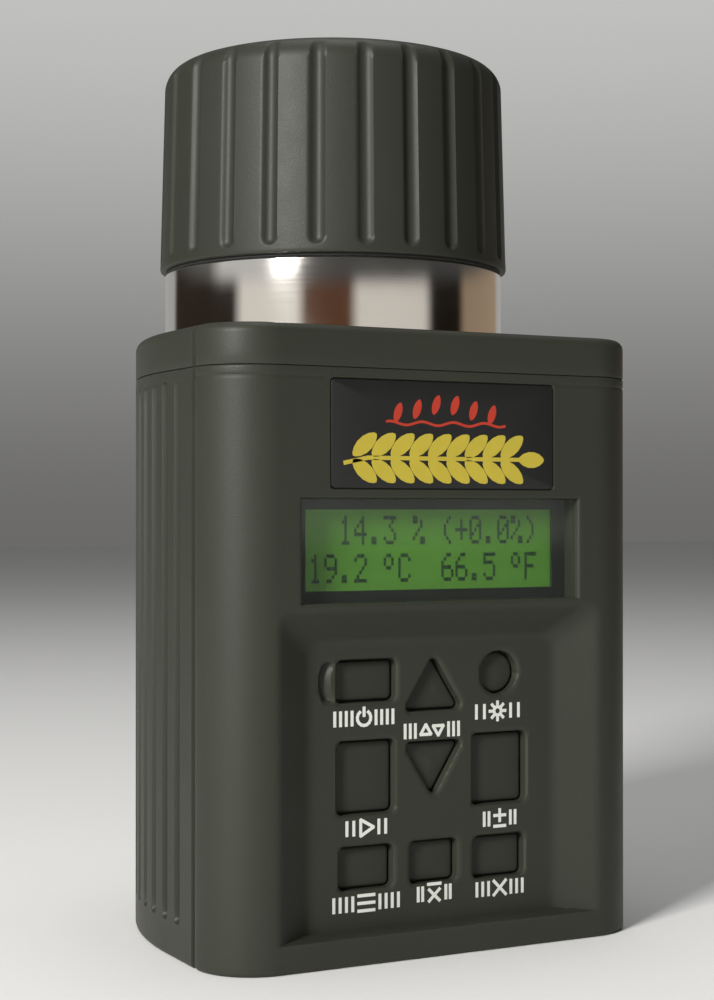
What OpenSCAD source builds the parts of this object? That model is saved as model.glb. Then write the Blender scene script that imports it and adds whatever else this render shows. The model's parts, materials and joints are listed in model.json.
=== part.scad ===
// Hand-held grain moisture meter: a screw-capped test cell on a small instrument case.
// +Z is up, -Y is the front face. The origin is on the base, under the test cell's axis.

/* [Casing] */
// Width of the casing
body_w = 95; // [90:1:114]
// Height of the casing, from its base to the top of its cover
body_h = 121; // [119:1:150]
// Distance from the cell's axis to the front face
front_reach = 48; // [47:0.5:58]
// Radius of the rounded back
back_r = 41.5; // [41:0.1:43]
// Radius of the bowed sides
side_r = 80; // [78:1:90]
// Radius of the two front corners
corner_r = 12; // [8:0.5:12]
// Wall of the casing
wall = 2.5; // [2:0.1:3]
// Depth of the front shell
front_depth = 11.8; // [11.5:0.1:14]
// Width of the groove between the front and rear shells
parting_w = 1.4; // [0.8:0.1:2]
// Depth of that groove
parting_d = 0.8; // [0.4:0.1:1]
// Height of the top cover
cover_h = 8; // [7:0.5:10]
// Thickness of the base plate
base_t = 3; // [2.5:0.1:4]
// Length of the lips that locate the shells and the cover
lip_l = 2; // [1.5:0.1:2.5]

/* [Side ribs] */
// Grooves on each side
groove_n = 6; // [3:1:6]
// Pitch of the grooves
groove_pitch = 6.2; // [5:0.1:6.5]
// Width of a groove
groove_w = 2.6; // [1:0.1:3]
// Depth of a groove
groove_d = 0.9; // [0.5:0.1:1.2]
// Distance from the grooves' ends to the base and to the cover
groove_margin = 7; // [4:0.5:12]

/* [Test cell] */
// Bore of the test cell
bore_d = 62; // [50:0.5:63]
// Depth of the test cell
cell_depth = 50.5; // [40:0.5:54]
// Wall of the cell at its threaded neck
neck_wall = 2.7; // [2:0.1:3]
// Outside diameter of the plated collar
collar_d = 72; // [70:0.5:73]
// Height of the collar above the cover
collar_h = 15.3; // [10:0.1:22]
// Height of the threaded neck above the collar
neck_h = 14.2; // [12.5:0.1:18]
// Width of the flange that the cover clamps
flange_w = 1.4; // [1:0.1:1.5]
// Thickness of the flange and of the carrier plate under it
flange_t = 3; // [2:0.1:4]
// Diameter of the electrode on the cell's floor
electrode_d = 24; // [12:1:28]

/* [Cap] */
// Diameter of the cap at its rim
cap_d = 74.2; // [74:0.1:78]
// Height of the cap
cap_h = 43.4; // [41:0.1:56]
// How much the cap's radius shrinks towards the top
cap_draft = 1; // [0.5:0.1:1.5]
// Radius of the cap's top edge
cap_round = 5; // [3:0.5:7]
// Flutes round the cap
flute_n = 24; // [16:1:36]
// Where the first flute stands, in degrees
flute_turn = 13; // [0:1:20]
// Radius of a flute
flute_r = 1.9; // [1:0.1:2.2]
// Depth of a flute
flute_d = 0.9; // [0.5:0.1:1]
// Height of the plain band at the cap's rim
rim_band = 1.6; // [1:0.1:6]
// Thickness of the cap's top
cap_top = 3; // [2:0.1:4]
// Thickness of the loose washer under the rim
washer_t = 0.45; // [0.3:0.05:0.6]
// Travel of the pressure plate
plate_travel = 4; // [2:0.5:5]
// Thickness of the pressure plate
plate_t = 2.5; // [2:0.1:4]

/* [Display] */
// Width of the display's viewing area
lcd_w = 55.3; // [45:0.1:57]
// Height of the display's viewing area
lcd_h = 15.6; // [12:0.1:16]
// Width of the opening in the casing
lcd_open_w = 61.6; // [60:0.1:63]
// Height of the opening in the casing
lcd_open_h = 19.8; // [18:0.1:20]
// Depth of the display's glass behind the front face
lcd_depth = 5.7; // [5:0.1:6.5]
// Thickness of the clear window
window_t = 1.5; // [1:0.1:2]
// Width of the label plate
label_w = 49.4; // [40:0.1:54]
// Height of the label plate
label_h = 20.5; // [14:0.1:21]

/* [Keypad] */
// Width of the keypad recess at the front face
pad_w = 71; // [66:0.5:73]
// Width of the keypad recess at its floor
pad_floor_w = 55; // [50:0.5:58]
// Depth of the keypad recess
pad_depth = 4.5; // [3:0.1:4.5]
// Height of the recess's sloping ledge, under the display
ledge_h = 6.3; // [4:0.1:8]
// Distance between the three columns of keys
key_pitch = 14.9; // [14.5:0.1:16]
// How far the keys' faces lie below the recess's floor
key_sink = 1.8; // [0.5:0.1:2]
// Thickness of the plate that the keys stand in
pad_plate_t = 3; // [2.8:0.1:3.5]
// Travel of a key
key_travel = 0.8; // [0.3:0.1:0.8]
// Gap round a key
key_gap = 0.35; // [0.2:0.05:0.5]

/* [Battery] */
// Width of the battery
battery_w = 26.5; // [24:0.5:27]
// Thickness of the battery
battery_t = 17.5; // [14:0.5:18]
// Height of the battery without its terminals
battery_h = 46.4; // [36:0.1:50]

/* [Clearances] */
// Gap between fixed parts that fit into each other
fit_gap = 0.25; // [0.1:0.05:0.3]
// Radial gap of the turning and sliding fits
run_gap = 0.05; // [0.02:0.01:0.1]

/* [Hidden] */
$fn = 96;

case_color = [0.25, 0.26, 0.22];
key_color = [0.21, 0.22, 0.19];
metal_color = [0.80, 0.79, 0.76];
board_color = [0.06, 0.33, 0.16];
black = [0.07, 0.07, 0.07];

// Casing outline: straight sides meet the bowed sides at bow_y
half_w = body_w / 2;
bow_x = side_r - half_w;
bow_y = -sqrt(pow(side_r - back_r, 2) - pow(bow_x, 2));
split_y = front_depth - front_reach;
seam_z = body_h - cover_h;
eps = 0.01;

// Test cell, from the top down
shoulder_z = body_h + collar_h;
rim_z = shoulder_z + neck_h;
floor_z = rim_z - cell_depth;
bore_r = bore_d / 2;
neck_r = bore_r + neck_wall;
collar_r = collar_d / 2;
flange_r = collar_r + flange_w;
flange_top = seam_z - 0.7;
flange_z = flange_top - flange_t;
cover_lip = min(wall + 1.4, back_r - flange_r - 0.2);
carrier_z = flange_z - flange_t;
gasket_t = 0.8;
floor_t = 4;
retainer_t = 1.5;
tube_z = floor_z - floor_t - retainer_t - 0.5;
stud_r = 2.5;
stud_z = floor_z - 14;
nut_h = 3;
nut_z = floor_z - floor_t - 1 - nut_h;
electrode_t = 1.5;
sensor_r = 3;
sensor_y = bore_r - 10;

// Cap, from its rim up
cap_z = shoulder_z + washer_t + 0.1;
cap_top_z = cap_z + cap_h;
cap_r = cap_d / 2;
cap_top_r = cap_r - cap_draft;
insert_r = neck_r + run_gap;
insert_wall = 1;
skirt_r = insert_r + insert_wall + run_gap;
insert_z = cap_z + 0.8;
insert_h = neck_h - 2.3;
cavity_r = cap_top_r - flute_d - 2.1;
plate_r = bore_r - 0.6;
plate_z = rim_z - 3;
stem_r = 4;
bush_r = 7;
bush_flange_r = 10;
bush_flange_t = 2;
button_r = 6.6;
button_h = 4;
button_top = cap_top_z - plate_travel;
bush_top = button_top - button_h - run_gap;
bush_h = 8.2;
bush_z = bush_top - bush_h;
pocket_top = bush_z + bush_flange_t + run_gap;
retainer_z = bush_z - run_gap - 2.1;
pocket_r = 13.5;
wire_r = 0.6;
coil_r = 6;
coil_turns = 5.5;

// Screws, and the columns that take them
column_r = 3.5;
screw_r = 1.45;
screw_head_r = 2.6;
screw_head_h = 1.5;
screw_l = 13;
corner_x = half_w - corner_r;
corner_y = corner_r - front_reach;
column_reach = corner_r - wall - column_r + 0.4;
front_column = [corner_x + 0.8 * column_reach, corner_y - 0.6 * column_reach];
rear_column = [side_x(-8) - wall - screw_head_r - 0.3, -8];
columns = [for (c = [front_column, rear_column], s = [-1, 1]) [s * c[0], c[1]]];

// Front face, from the outside in
face_y = -front_reach;
inner_y = face_y + wall;
lcd_z = seam_z - 34.6;
glass_y = face_y + lcd_depth;
lcd_wall_y = glass_y - 0.7;
window_y = face_y + 1.2;
bezel_margin = 5;
bezel_half_w = lcd_w / 2 + bezel_margin;
bezel_half_h = lcd_h / 2 + 3;
glass_t = 1.8;
light_t = 2.8;
lcd_board_y = glass_y + glass_t + light_t + 0.2;
board_t = 1.6;
lcd_board_half_w = bezel_half_w + 4.2;
lcd_board_half_h = bezel_half_h + 1.3;
lcd_post = [lcd_board_half_w - 2.1, lcd_board_half_h - 2.3];
label_z = seam_z - 12.5;
label_t = 0.5;

// Keypad
pad_y = face_y + pad_depth;
pad_back_y = pad_y + pad_plate_t;
pad_z = 5.5;
pad_top_z = lcd_z - lcd_open_h / 2 - 1.2;
pad_floor_z = pad_top_z - ledge_h;
flange_gap = 0.1;
key_flange_t = 0.7;
key_back_y = pad_back_y + flange_gap + key_flange_t;
plunger_l = 0.3;
dome_h = 0.9;
board_y = key_back_y + plunger_l + key_travel + 0.1 + dome_h;
board_half_w = pad_w / 2 + 1;
board_z = pad_z + 1.3;
board_top_z = lcd_z - lcd_board_half_h - 0.7;
board_post = [board_half_w - 2.6, 2.6];
ribbon_x = -15;
small_screw_r = 0.75;
guard_r = 7;
guard_d = 1.1;

// Name, column, height, shape, width and height of each key
KEYS = [
    ["power", -1, 53.3, "bar", 12.4, 7.6],
    ["light", 1, 53.8, "round", 8, 8],
    ["select_up", 0, 52, "up", 11.6, 9.6],
    ["select_down", 0, 36, "down", 11.6, 9.6],
    ["test", -1, 34.9, "bar", 12, 13.6],
    ["cal", 1, 34.9, "bar", 12, 13.6],
    ["memory", -1, 17.6, "bar", 11.2, 7.8],
    ["average", 0, 17.6, "bar", 10, 7.8],
    ["clear", 1, 17.4, "bar", 11.2, 7.8]
];

// Battery bay, from the back wall forwards
tray_wall = 1.4;
leg_t = 1.1;
tray_half_w = battery_w / 2 + leg_t + 0.8 + tray_wall;
battery_back_y = back_r - wall - 5.1;
tray_y = battery_back_y - battery_t - 0.4 - tray_wall;
tray_z = base_t + 1;
battery_z = tray_z + tray_wall + 0.4;
terminal_h = 2.1;
terminal_x = 6.35;
clip_z = battery_z + battery_h + 0.2;
clip_t = 4.4;
tray_top = clip_z + clip_t + 2;
door_half_w = tray_half_w - 0.3;
door_z = tray_z + 2;
door_top = tray_top - 2;
door_gap = 0.3;
lead_z = clip_z + clip_t / 2;

// Half width of the casing at a place along Y, behind the straight sides
function side_x(y) = y < bow_y ? half_w : sqrt(pow(side_r, 2) - pow(y - bow_y, 2)) - bow_x;

// Casing outline as a solid, drawn in by inset on every side
module outline(h, inset = 0) {
    bow_end = (back_r - inset) * -bow_y / (side_r - back_r);
    translate([-(half_w - inset), corner_r - front_reach, 0])
        cube([2 * (half_w - inset), bow_y + front_reach - corner_r, h]);
    translate([-(half_w - corner_r), inset - front_reach, 0])
        cube([2 * (half_w - corner_r), bow_y + front_reach - inset, h]);
    for (s = [-1, 1])
        translate([s * (half_w - corner_r), corner_r - front_reach, 0])
            cylinder(r = corner_r - inset, h = h);
    intersection() {
        for_both_bows(h, inset);
        translate([-half_w, bow_y - 1, 0])
            cube([body_w, bow_end - bow_y + 1, h]);
    }
    cylinder(r = back_r - inset, h = h);
}

// The space between the two bowed sides
module for_both_bows(h, inset) {
    intersection() {
        translate([bow_x, bow_y, 0])
            cylinder(r = side_r - inset, h = h);
        translate([-bow_x, bow_y, 0])
            cylinder(r = side_r - inset, h = h);
    }
}

// A band that follows the outline, from inset a to inset b
module band(z, h, a, b) {
    translate([0, 0, z])
        difference() {
            outline(h, a);
            translate([0, 0, -1])
                outline(h + 2, b);
        }
}

module front_space(reach = 0) {
    translate([-body_w, -2 * front_reach, -1])
        cube([2 * body_w, split_y + reach + 2 * front_reach, 2 * body_h]);
}

module rear_space(reach = 0) {
    translate([-body_w, split_y - reach, -1])
        cube([2 * body_w, 2 * front_reach, 2 * body_h]);
}

// A flat shape drawn in X and Z, as a solid from y0 back to y1
module face_prism(y0, y1) {
    translate([0, y1, 0])
        rotate([90, 0, 0])
            linear_extrude(y1 - y0)
                children();
}

// A rectangle with round corners, centred on its origin
module round_rect(w, h, r) {
    square([w, h - 2 * r], center = true);
    square([w - 2 * r, h], center = true);
    for (x = [-1, 1], y = [-1, 1])
        translate([x * (w / 2 - r), y * (h / 2 - r)])
            circle(r);
}

module ring(r_out, r_in, h) {
    difference() {
        cylinder(r = r_out, h = h);
        translate([0, 0, -1])
            cylinder(r = r_in, h = h + 2);
    }
}

// The wall that the two shells share, with the ledge that carries the cell
module casing_wall() {
    band(0, seam_z, 0, wall);
    band(carrier_z - flange_t, flange_t, wall - 0.1, wall + 2.4);
}

module screw_columns(list, r, z, h) {
    for (c = list)
        translate([c[0], c[1], z])
            cylinder(r = r, h = h);
}

// Blind holes for the screws that come from above and from below
module screw_holes(list) {
    screw_columns(list, screw_r + run_gap, base_t - 1, screw_l);
    screw_columns(list, screw_r + run_gap, seam_z - screw_l + 4, screw_l);
}

// A self-tapping screw, its head's top at the origin and its shank down -Z
module screw(l, r = screw_r, head_r = screw_head_r, head_h = screw_head_h) {
    difference() {
        translate([0, 0, -head_h])
            cylinder(r = head_r, h = head_h);
        for (a = [0, 90])
            rotate([0, 0, a])
                translate([-head_r * 0.6, -0.3, -head_h / 2])
                    cube([head_r * 1.2, 0.6, head_h]);
    }
    translate([0, 0, -l])
        cylinder(r = r, h = l - head_h);
}

// The hollow that the keys stand in: sloping sides and a sloping ledge at the top
module keypad_recess() {
    out = 1;
    side_slope = (pad_w - pad_floor_w) / 2 / pad_depth;
    ledge_slope = ledge_h / pad_depth;
    intersection() {
        linear_extrude(body_h)
            polygon([
                [-pad_w / 2 - out * side_slope, face_y - out],
                [pad_w / 2 + out * side_slope, face_y - out],
                [pad_floor_w / 2, pad_y],
                [-pad_floor_w / 2, pad_y]
            ]);
        translate([-body_w / 2, 0, 0])
            rotate([90, 0, 90])
                linear_extrude(body_w)
                    polygon([
                        [face_y - out, pad_z],
                        [pad_y, pad_z],
                        [pad_y, pad_floor_z],
                        [face_y - out, pad_top_z + out * ledge_slope]
                    ]);
    }
}

// Outline of one key, larger by grow on every side
module key_outline(shape, w, h, grow = 0) {
    if (shape == "round") circle(w / 2 + grow);
    if (shape == "bar") round_rect(w + 2 * grow, h + 2 * grow, 1 + grow);
    if (shape == "up") triangle(w, h, grow);
    if (shape == "down") mirror([0, 1]) triangle(w, h, grow);
}

// A triangle that points up, with round corners
module triangle(w, h, grow) {
    r = 0.8;
    hull()
        for (p = [[-w / 2 + r, -h / 2 + r], [w / 2 - r, -h / 2 + r], [0, h / 2 - r]])
            translate(p)
                circle(r + grow, $fn = 32);
}

// Moves its children to a key's place on the front
module at_key(k) {
    translate([k[1] * key_pitch, k[2]])
        children();
}

module key_holes() {
    for (k = KEYS)
        face_prism(pad_y - 1, pad_back_y + 1)
            at_key(k) key_outline(k[3], k[4], k[5], key_gap);
}

// The crescent-shaped moat beside the power key, which guides the thumb away from it
module power_guard() {
    k = KEYS[0];
    face_prism(pad_y - 1, pad_y + guard_d)
        at_key(k) translate([-k[4] / 2 + 2.9, 0]) difference() {
            circle(guard_r);
            translate([2.3, 0]) circle(guard_r);
            translate([0, -2 * guard_r]) square(4 * guard_r);
            for (s = [-1, 1])
                translate([-2 * guard_r, s * (k[5] / 2 + guard_r) - guard_r])
                    square([4 * guard_r, 2 * guard_r]);
        }
}

module key(i) {
    k = KEYS[i];
    face_prism(pad_y + key_sink, pad_back_y + flange_gap + eps)
        at_key(k) key_outline(k[3], k[4], k[5]);
    face_prism(pad_back_y + flange_gap, key_back_y)
        at_key(k) key_outline(k[3], k[4], k[5], key_gap + 0.6);
    face_prism(key_back_y - eps, key_back_y + plunger_l)
        at_key(k) circle(1.5);
}

// The raised frame round the display's opening, inside the shell
module lcd_seat() {
    face_prism(inner_y - 1, lcd_wall_y)
        translate([0, lcd_z]) square([lcd_open_w + 6, lcd_open_h + 3], center = true);
}

module posts(list, r, y0, y1, zc) {
    for (p = list)
        face_prism(y0, y1)
            translate([p[0], zc + p[1]]) circle(r);
}

function four(p) = [for (x = [-1, 1], z = [-1, 1]) [x * p[0], z * p[1]]];
board_mid_z = (board_z + board_top_z) / 2;
board_holes = four([board_post[0], (board_top_z - board_z) / 2 - board_post[1]]);

module front_shell() {
    color(case_color)
        difference() {
            union() {
                intersection() {
                    casing_wall();
                    front_space();
                }
                intersection() {
                    outline(seam_z, wall / 2);
                    face_prism(face_y, pad_back_y)
                        translate([0, (pad_z + pad_top_z) / 2 - 1])
                            square([pad_w + 5, pad_top_z - pad_z + 2], center = true);
                }
                lcd_seat();
                screw_columns([columns[0], columns[1]], column_r, base_t, seam_z - base_t);
                posts(board_holes, 1.8, pad_back_y - 1, board_y, board_mid_z);
                posts(four(lcd_post), 1.7, inner_y - 1, lcd_board_y, lcd_z);
            }
            keypad_recess();
            power_guard();
            key_holes();
            face_prism(face_y - 1, window_y + window_t)
                translate([0, lcd_z]) square([lcd_open_w, lcd_open_h], center = true);
            face_prism(face_y - 1, lcd_wall_y + 1)
                translate([0, lcd_z]) square([lcd_open_w - 2.6, lcd_open_h - 1.6], center = true);
            face_prism(face_y - 1, face_y + label_t + 0.1)
                translate([0, label_z]) round_rect(label_w + 0.6, label_h + 0.6, 1);
            screw_holes([columns[0], columns[1]]);
            posts(board_holes, small_screw_r + run_gap, board_y - 4, board_y + 1, board_mid_z);
            posts(four(lcd_post), small_screw_r + run_gap, lcd_board_y - 5, lcd_board_y + 1, lcd_z);
            intersection() {
                band(-1, seam_z + 2, wall / 2 - 0.05, wall + 3);
                rear_space(lip_l + 0.2);
            }
        }
}

// The groove that runs up both sides where the shells meet
module parting_groove(z, h) {
    intersection() {
        band(z, h, -1, parting_d);
        translate([-body_w, split_y - eps, 0])
            cube([2 * body_w, parting_w, 2 * body_h]);
    }
}

// Vertical grooves along both sides
module side_grooves() {
    for (i = [0 : groove_n - 1], s = [-1, 1]) {
        y = split_y + 8.7 + i * groove_pitch;
        x = side_x(y);
        translate([s > 0 ? x - groove_d : -x - 5, y - groove_w / 2, groove_margin])
            cube([groove_d + 5, groove_w, seam_z - groove_margin - 2]);
    }
}

module rear_shell() {
    color(case_color)
        difference() {
            union() {
                intersection() {
                    casing_wall();
                    rear_space();
                }
                intersection() {
                    band(0, seam_z, wall / 2 + 0.1, wall);
                    rear_space(lip_l);
                    front_space(1);
                }
                screw_columns([columns[2], columns[3]], column_r, base_t, seam_z - base_t);
            }
            side_grooves();
            parting_groove(-1, seam_z + 2);
            screw_holes([columns[2], columns[3]]);
            translate([-door_half_w - door_gap, 0, door_z - door_gap])
                cube([2 * (door_half_w + door_gap), 2 * back_r, door_top - door_z + 2 * door_gap]);
            translate([0, back_r + 5.4, door_top + 2])
                rotate([0, 90, 0])
                    cylinder(r = 7, h = 16, center = true);
        }
}

module top_cover() {
    post_z = seam_z + 0.05;
    color(case_color)
        difference() {
            union() {
                difference() {
                    translate([0, 0, seam_z])
                        outline(cover_h);
                    translate([0, 0, seam_z - 1])
                        outline(cover_h - wall + 1, wall);
                }
                difference() {
                    band(seam_z - lip_l, lip_l + 1, wall + 0.2, cover_lip);
                    screw_columns(columns, column_r + 0.3, seam_z - lip_l - 1, lip_l + 1);
                }
                band(seam_z + 0.5, 1, wall - 0.1, cover_lip);
                translate([0, 0, flange_top + gasket_t])
                    cylinder(r = flange_r + 1, h = body_h - flange_top - gasket_t - 1);
                screw_columns(columns, column_r, post_z, cover_h - 1);
            }
            parting_groove(seam_z - 0.5, cover_h + 1);
            translate([0, 0, seam_z - 5])
                cylinder(r = collar_r + fit_gap, h = cover_h + 10);
            screw_columns(columns, screw_r + run_gap, seam_z - 5, cover_h + 10);
            screw_columns(columns, screw_head_r + 0.2, body_h - screw_head_h - 0.2, 5);
        }
}

module base_plate() {
    color(case_color)
        difference() {
            union() {
                outline(base_t, wall + fit_gap);
                for (y = [-24, -12, 0, 12])
                    translate([-20, y, base_t - eps])
                        cube([40, 1.2, 0.8]);
            }
            screw_columns(columns, screw_r + run_gap, -1, base_t + 2);
            screw_columns(columns, screw_head_r + 0.2, -1, screw_head_h + 1.2);
        }
}

module cell_carrier() {
    color(black)
        difference() {
            translate([0, 0, carrier_z])
                outline(flange_t, wall + fit_gap);
            translate([0, 0, carrier_z - 1])
                cylinder(r = neck_r + fit_gap, h = flange_t + 2);
            screw_columns(columns, column_r + 0.3, carrier_z - 1, flange_t + 2);
        }
}

module cell_tube() {
    color(metal_color)
        difference() {
            union() {
                translate([0, 0, tube_z])
                    cylinder(r = neck_r, h = rim_z - tube_z);
                translate([0, 0, flange_z])
                    cylinder(r = collar_r, h = shoulder_z - flange_z);
                translate([0, 0, flange_z])
                    cylinder(r = flange_r, h = flange_t);
            }
            translate([0, 0, tube_z - 1])
                cylinder(r = bore_r, h = rim_z - tube_z + 2);
            translate([0, 0, rim_z - 1])
                cylinder(r1 = bore_r, r2 = bore_r + 1.1, h = 1.1);
        }
}

module cell_gasket() {
    color(black)
        translate([0, 0, flange_top])
            ring(flange_r, collar_r + fit_gap, gasket_t);
}

module cell_floor() {
    color([0.90, 0.88, 0.82])
        difference() {
            translate([0, 0, floor_z - floor_t])
                cylinder(r = bore_r - run_gap, h = floor_t);
            translate([0, 0, floor_z - floor_t - 1])
                cylinder(r = stud_r + run_gap, h = floor_t + 2);
            translate([0, sensor_y, floor_z - floor_t - 1])
                cylinder(r = sensor_r + run_gap, h = floor_t + 2);
        }
}

module floor_retainer() {
    color(metal_color)
        translate([0, 0, floor_z - floor_t - retainer_t])
            ring(bore_r - run_gap, bore_r - 3, retainer_t);
}

module electrode() {
    color(metal_color) {
        translate([0, 0, floor_z])
            cylinder(r = electrode_d / 2, h = electrode_t);
        translate([0, 0, stud_z])
            cylinder(r = stud_r, h = floor_z - stud_z + eps);
    }
}

module electrode_nut() {
    color(metal_color)
        translate([0, 0, nut_z])
            difference() {
                union() {
                    cylinder(r = 4.6, h = nut_h, $fn = 6);
                    translate([0, 0, nut_h - eps])
                        cylinder(r = 6, h = 1);
                }
                translate([0, 0, -1])
                    cylinder(r = stud_r + run_gap, h = nut_h + 3);
            }
}

module temperature_sensor() {
    color(metal_color)
        translate([0, sensor_y, 0]) {
            translate([0, 0, floor_z - floor_t - 6])
                cylinder(r = sensor_r, h = floor_t + 6.4);
            intersection() {
                translate([0, 0, floor_z - 2.6])
                    sphere(r = sqrt(sensor_r * sensor_r + 9));
                translate([0, 0, floor_z + 0.4])
                    cylinder(r = sensor_r, h = 2);
            }
        }
}

// Radius of the cap's outside at a height
function cap_outer(z) = cap_r - cap_draft * (z - cap_z) / (cap_h - cap_round);

module cap_flutes() {
    lean = atan(cap_draft / (cap_h - cap_round));
    for (i = [0 : flute_n - 1])
        rotate([0, 0, flute_turn + i * 360 / flute_n])
            translate([cap_outer(cap_z + rim_band) + flute_r - flute_d, 0, cap_z + rim_band])
                rotate([0, -lean, 0])
                    cylinder(r = flute_r, h = cap_h - rim_band - cap_round * 0.55, $fn = 48);
}

module cap_shell() {
    round_z = cap_top_z - cap_round;
    color(case_color)
        difference() {
            union() {
                difference() {
                    union() {
                        translate([0, 0, cap_z])
                            cylinder(r1 = cap_r, r2 = cap_top_r, h = cap_h - cap_round);
                        translate([0, 0, round_z])
                            rotate_extrude()
                                translate([cap_top_r - cap_round, 0])
                                    circle(cap_round);
                        translate([0, 0, round_z - 1])
                            cylinder(r = cap_top_r - cap_round, h = cap_round + 1);
                    }
                    translate([0, 0, cap_z - 1])
                        cylinder(r = skirt_r, h = rim_z - cap_z + 1.5);
                    translate([0, 0, rim_z])
                        cylinder(r = cavity_r, h = round_z - rim_z);
                    translate([0, 0, rim_z])
                        cylinder(r = cap_top_r - cap_round, h = cap_top_z - cap_top - rim_z);
                }
                translate([0, 0, retainer_z + 2.1])
                    cylinder(r = pocket_r, h = cap_top_z - retainer_z - 3.1);
                for (a = [0 : 60 : 300])
                    rotate([0, 0, a + 30])
                        translate([bush_r + 2, -0.8, cap_top_z - 9])
                            cube([cavity_r - bush_r - 1.5, 1.6, 7]);
            }
            cap_flutes();
            translate([0, 0, cap_z - 1])
                cylinder(r = bush_r + run_gap, h = cap_h + 5);
            translate([0, 0, retainer_z])
                cylinder(r = bush_flange_r + run_gap, h = pocket_top - retainer_z);
            retainer_screw_places()
                cylinder(r = 0.9 + run_gap, h = 7);
        }
}

module retainer_screw_places() {
    for (a = [0, 120, 240])
        rotate([0, 0, a])
            translate([11.8, 0, retainer_z])
                children();
}

module cap_thread_insert() {
    color(metal_color)
        translate([0, 0, insert_z])
            ring(insert_r + insert_wall, insert_r, insert_h);
}

module rim_washer() {
    color(black)
        translate([0, 0, shoulder_z + 0.05])
            ring(collar_r - 0.2, neck_r + 0.35, washer_t);
}

module guide_bush() {
    color([0.88, 0.86, 0.80])
        difference() {
            union() {
                translate([0, 0, bush_z])
                    cylinder(r = bush_r, h = bush_h);
                translate([0, 0, bush_z])
                    cylinder(r = bush_flange_r, h = bush_flange_t);
            }
            translate([0, 0, bush_z - 1])
                cylinder(r = stem_r + run_gap, h = bush_h + 2);
        }
}

module bush_retainer() {
    color(metal_color)
        difference() {
            translate([0, 0, retainer_z])
                ring(pocket_r, 8, 2.05);
            retainer_screw_places()
                translate([0, 0, -1])
                    cylinder(r = 0.9 + run_gap, h = 5);
        }
}

module retainer_screws() {
    color(metal_color)
        retainer_screw_places()
            rotate([180, 0, 0])
                translate([0, 0, 1.02])
                    screw(7, 0.9, 1.6, 1);
}

module pressure_plate() {
    color(metal_color)
        difference() {
            union() {
                translate([0, 0, plate_z])
                    cylinder(r = plate_r, h = plate_t);
                translate([0, 0, plate_z])
                    cylinder(r = coil_r - wire_r - 0.3, h = plate_t + 2);
            }
            translate([0, 0, plate_z - 1])
                cylinder(r = stem_r - 1 + run_gap, h = plate_t + 4);
        }
}

module plunger_stem() {
    color(metal_color)
        difference() {
            union() {
                translate([0, 0, plate_z + plate_t + 2.05])
                    cylinder(r = stem_r, h = button_top - 1.5 - plate_z - plate_t - 2.05);
                translate([0, 0, plate_z])
                    cylinder(r = stem_r - 1, h = 8);
                translate([0, 0, plate_z - 0.8])
                    cylinder(r = 5, h = 0.8);
            }
            translate([0, 0, button_top - 5.5])
                cylinder(r = 1.6, h = 6);
        }
}

module indicator_button() {
    color([0.75, 0.08, 0.06])
        difference() {
            translate([0, 0, button_top - button_h])
                cylinder(r = button_r, h = button_h);
            translate([0, 0, button_top - button_h - 1])
                cylinder(r = stem_r + run_gap, h = button_h);
        }
}

// One point of the spring's wire: a is the angle along the coil, b the angle round the wire
function coil_point(a, b, h) = [
    (coil_r + wire_r * cos(b)) * cos(a),
    (coil_r + wire_r * cos(b)) * sin(a),
    wire_r + (h - 2 * wire_r) * a / (360 * coil_turns) + wire_r * sin(b)
];

module plate_spring() {
    steps = 24 * coil_turns;
    sides = 8;
    spring_z = plate_z + plate_t + 0.05;
    spring_h = bush_z - 0.05 - spring_z;
    points = [
        for (i = [0 : steps], j = [0 : sides - 1])
            coil_point(i * 15, j * 360 / sides, spring_h)
    ];
    walls = [
        for (i = [0 : steps - 1], j = [0 : sides - 1])
            let (k = (j + 1) % sides)
                [i * sides + j, (i + 1) * sides + j, (i + 1) * sides + k, i * sides + k]
    ];
    first_end = [for (j = [0 : sides - 1]) j];
    last_end = [for (j = [sides - 1 : -1 : 0]) steps * sides + j];
    color(metal_color)
        translate([0, 0, spring_z])
            polyhedron(points, concat(walls, [first_end], [last_end]));
}

module label_plate() {
    color(black)
        face_prism(face_y + 0.08, face_y + 0.08 + label_t)
            translate([0, label_z]) round_rect(label_w, label_h, 0.7);
}

module lcd_window() {
    color([0.75, 0.80, 0.78, 0.4])
        face_prism(window_y, window_y + window_t - 0.02)
            translate([0, lcd_z]) square([lcd_open_w - 0.2, lcd_open_h - 0.2], center = true);
}

module lcd_bezel() {
    skin = 0.5;
    color(black)
        difference() {
            face_prism(glass_y - skin - 0.1, lcd_board_y - 0.1)
                translate([0, lcd_z]) square(2 * [bezel_half_w, bezel_half_h], center = true);
            face_prism(glass_y - 0.1, lcd_board_y)
                translate([0, lcd_z]) square(2 * [bezel_half_w - skin, bezel_half_h - skin], center = true);
            face_prism(glass_y - 2, glass_y + 1)
                translate([0, lcd_z]) square([lcd_w, lcd_h], center = true);
        }
}

module lcd_layer(y, t, margin) {
    face_prism(y, y + t)
        translate([0, lcd_z]) square(2 * [bezel_half_w - margin, bezel_half_h - margin], center = true);
}

module lcd_glass() {
    color([0.43, 0.70, 0.31]) lcd_layer(glass_y, glass_t, 0.8);
}

module lcd_backlight() {
    color([0.85, 0.9, 0.7]) lcd_layer(glass_y + glass_t + 0.05, light_t, 1);
}

module lcd_board() {
    color(board_color)
        difference() {
            face_prism(lcd_board_y, lcd_board_y + board_t)
                translate([0, lcd_z]) square(2 * [lcd_board_half_w, lcd_board_half_h], center = true);
            posts(four(lcd_post), small_screw_r + run_gap, lcd_board_y - 1, lcd_board_y + board_t + 1, lcd_z);
        }
}

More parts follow.
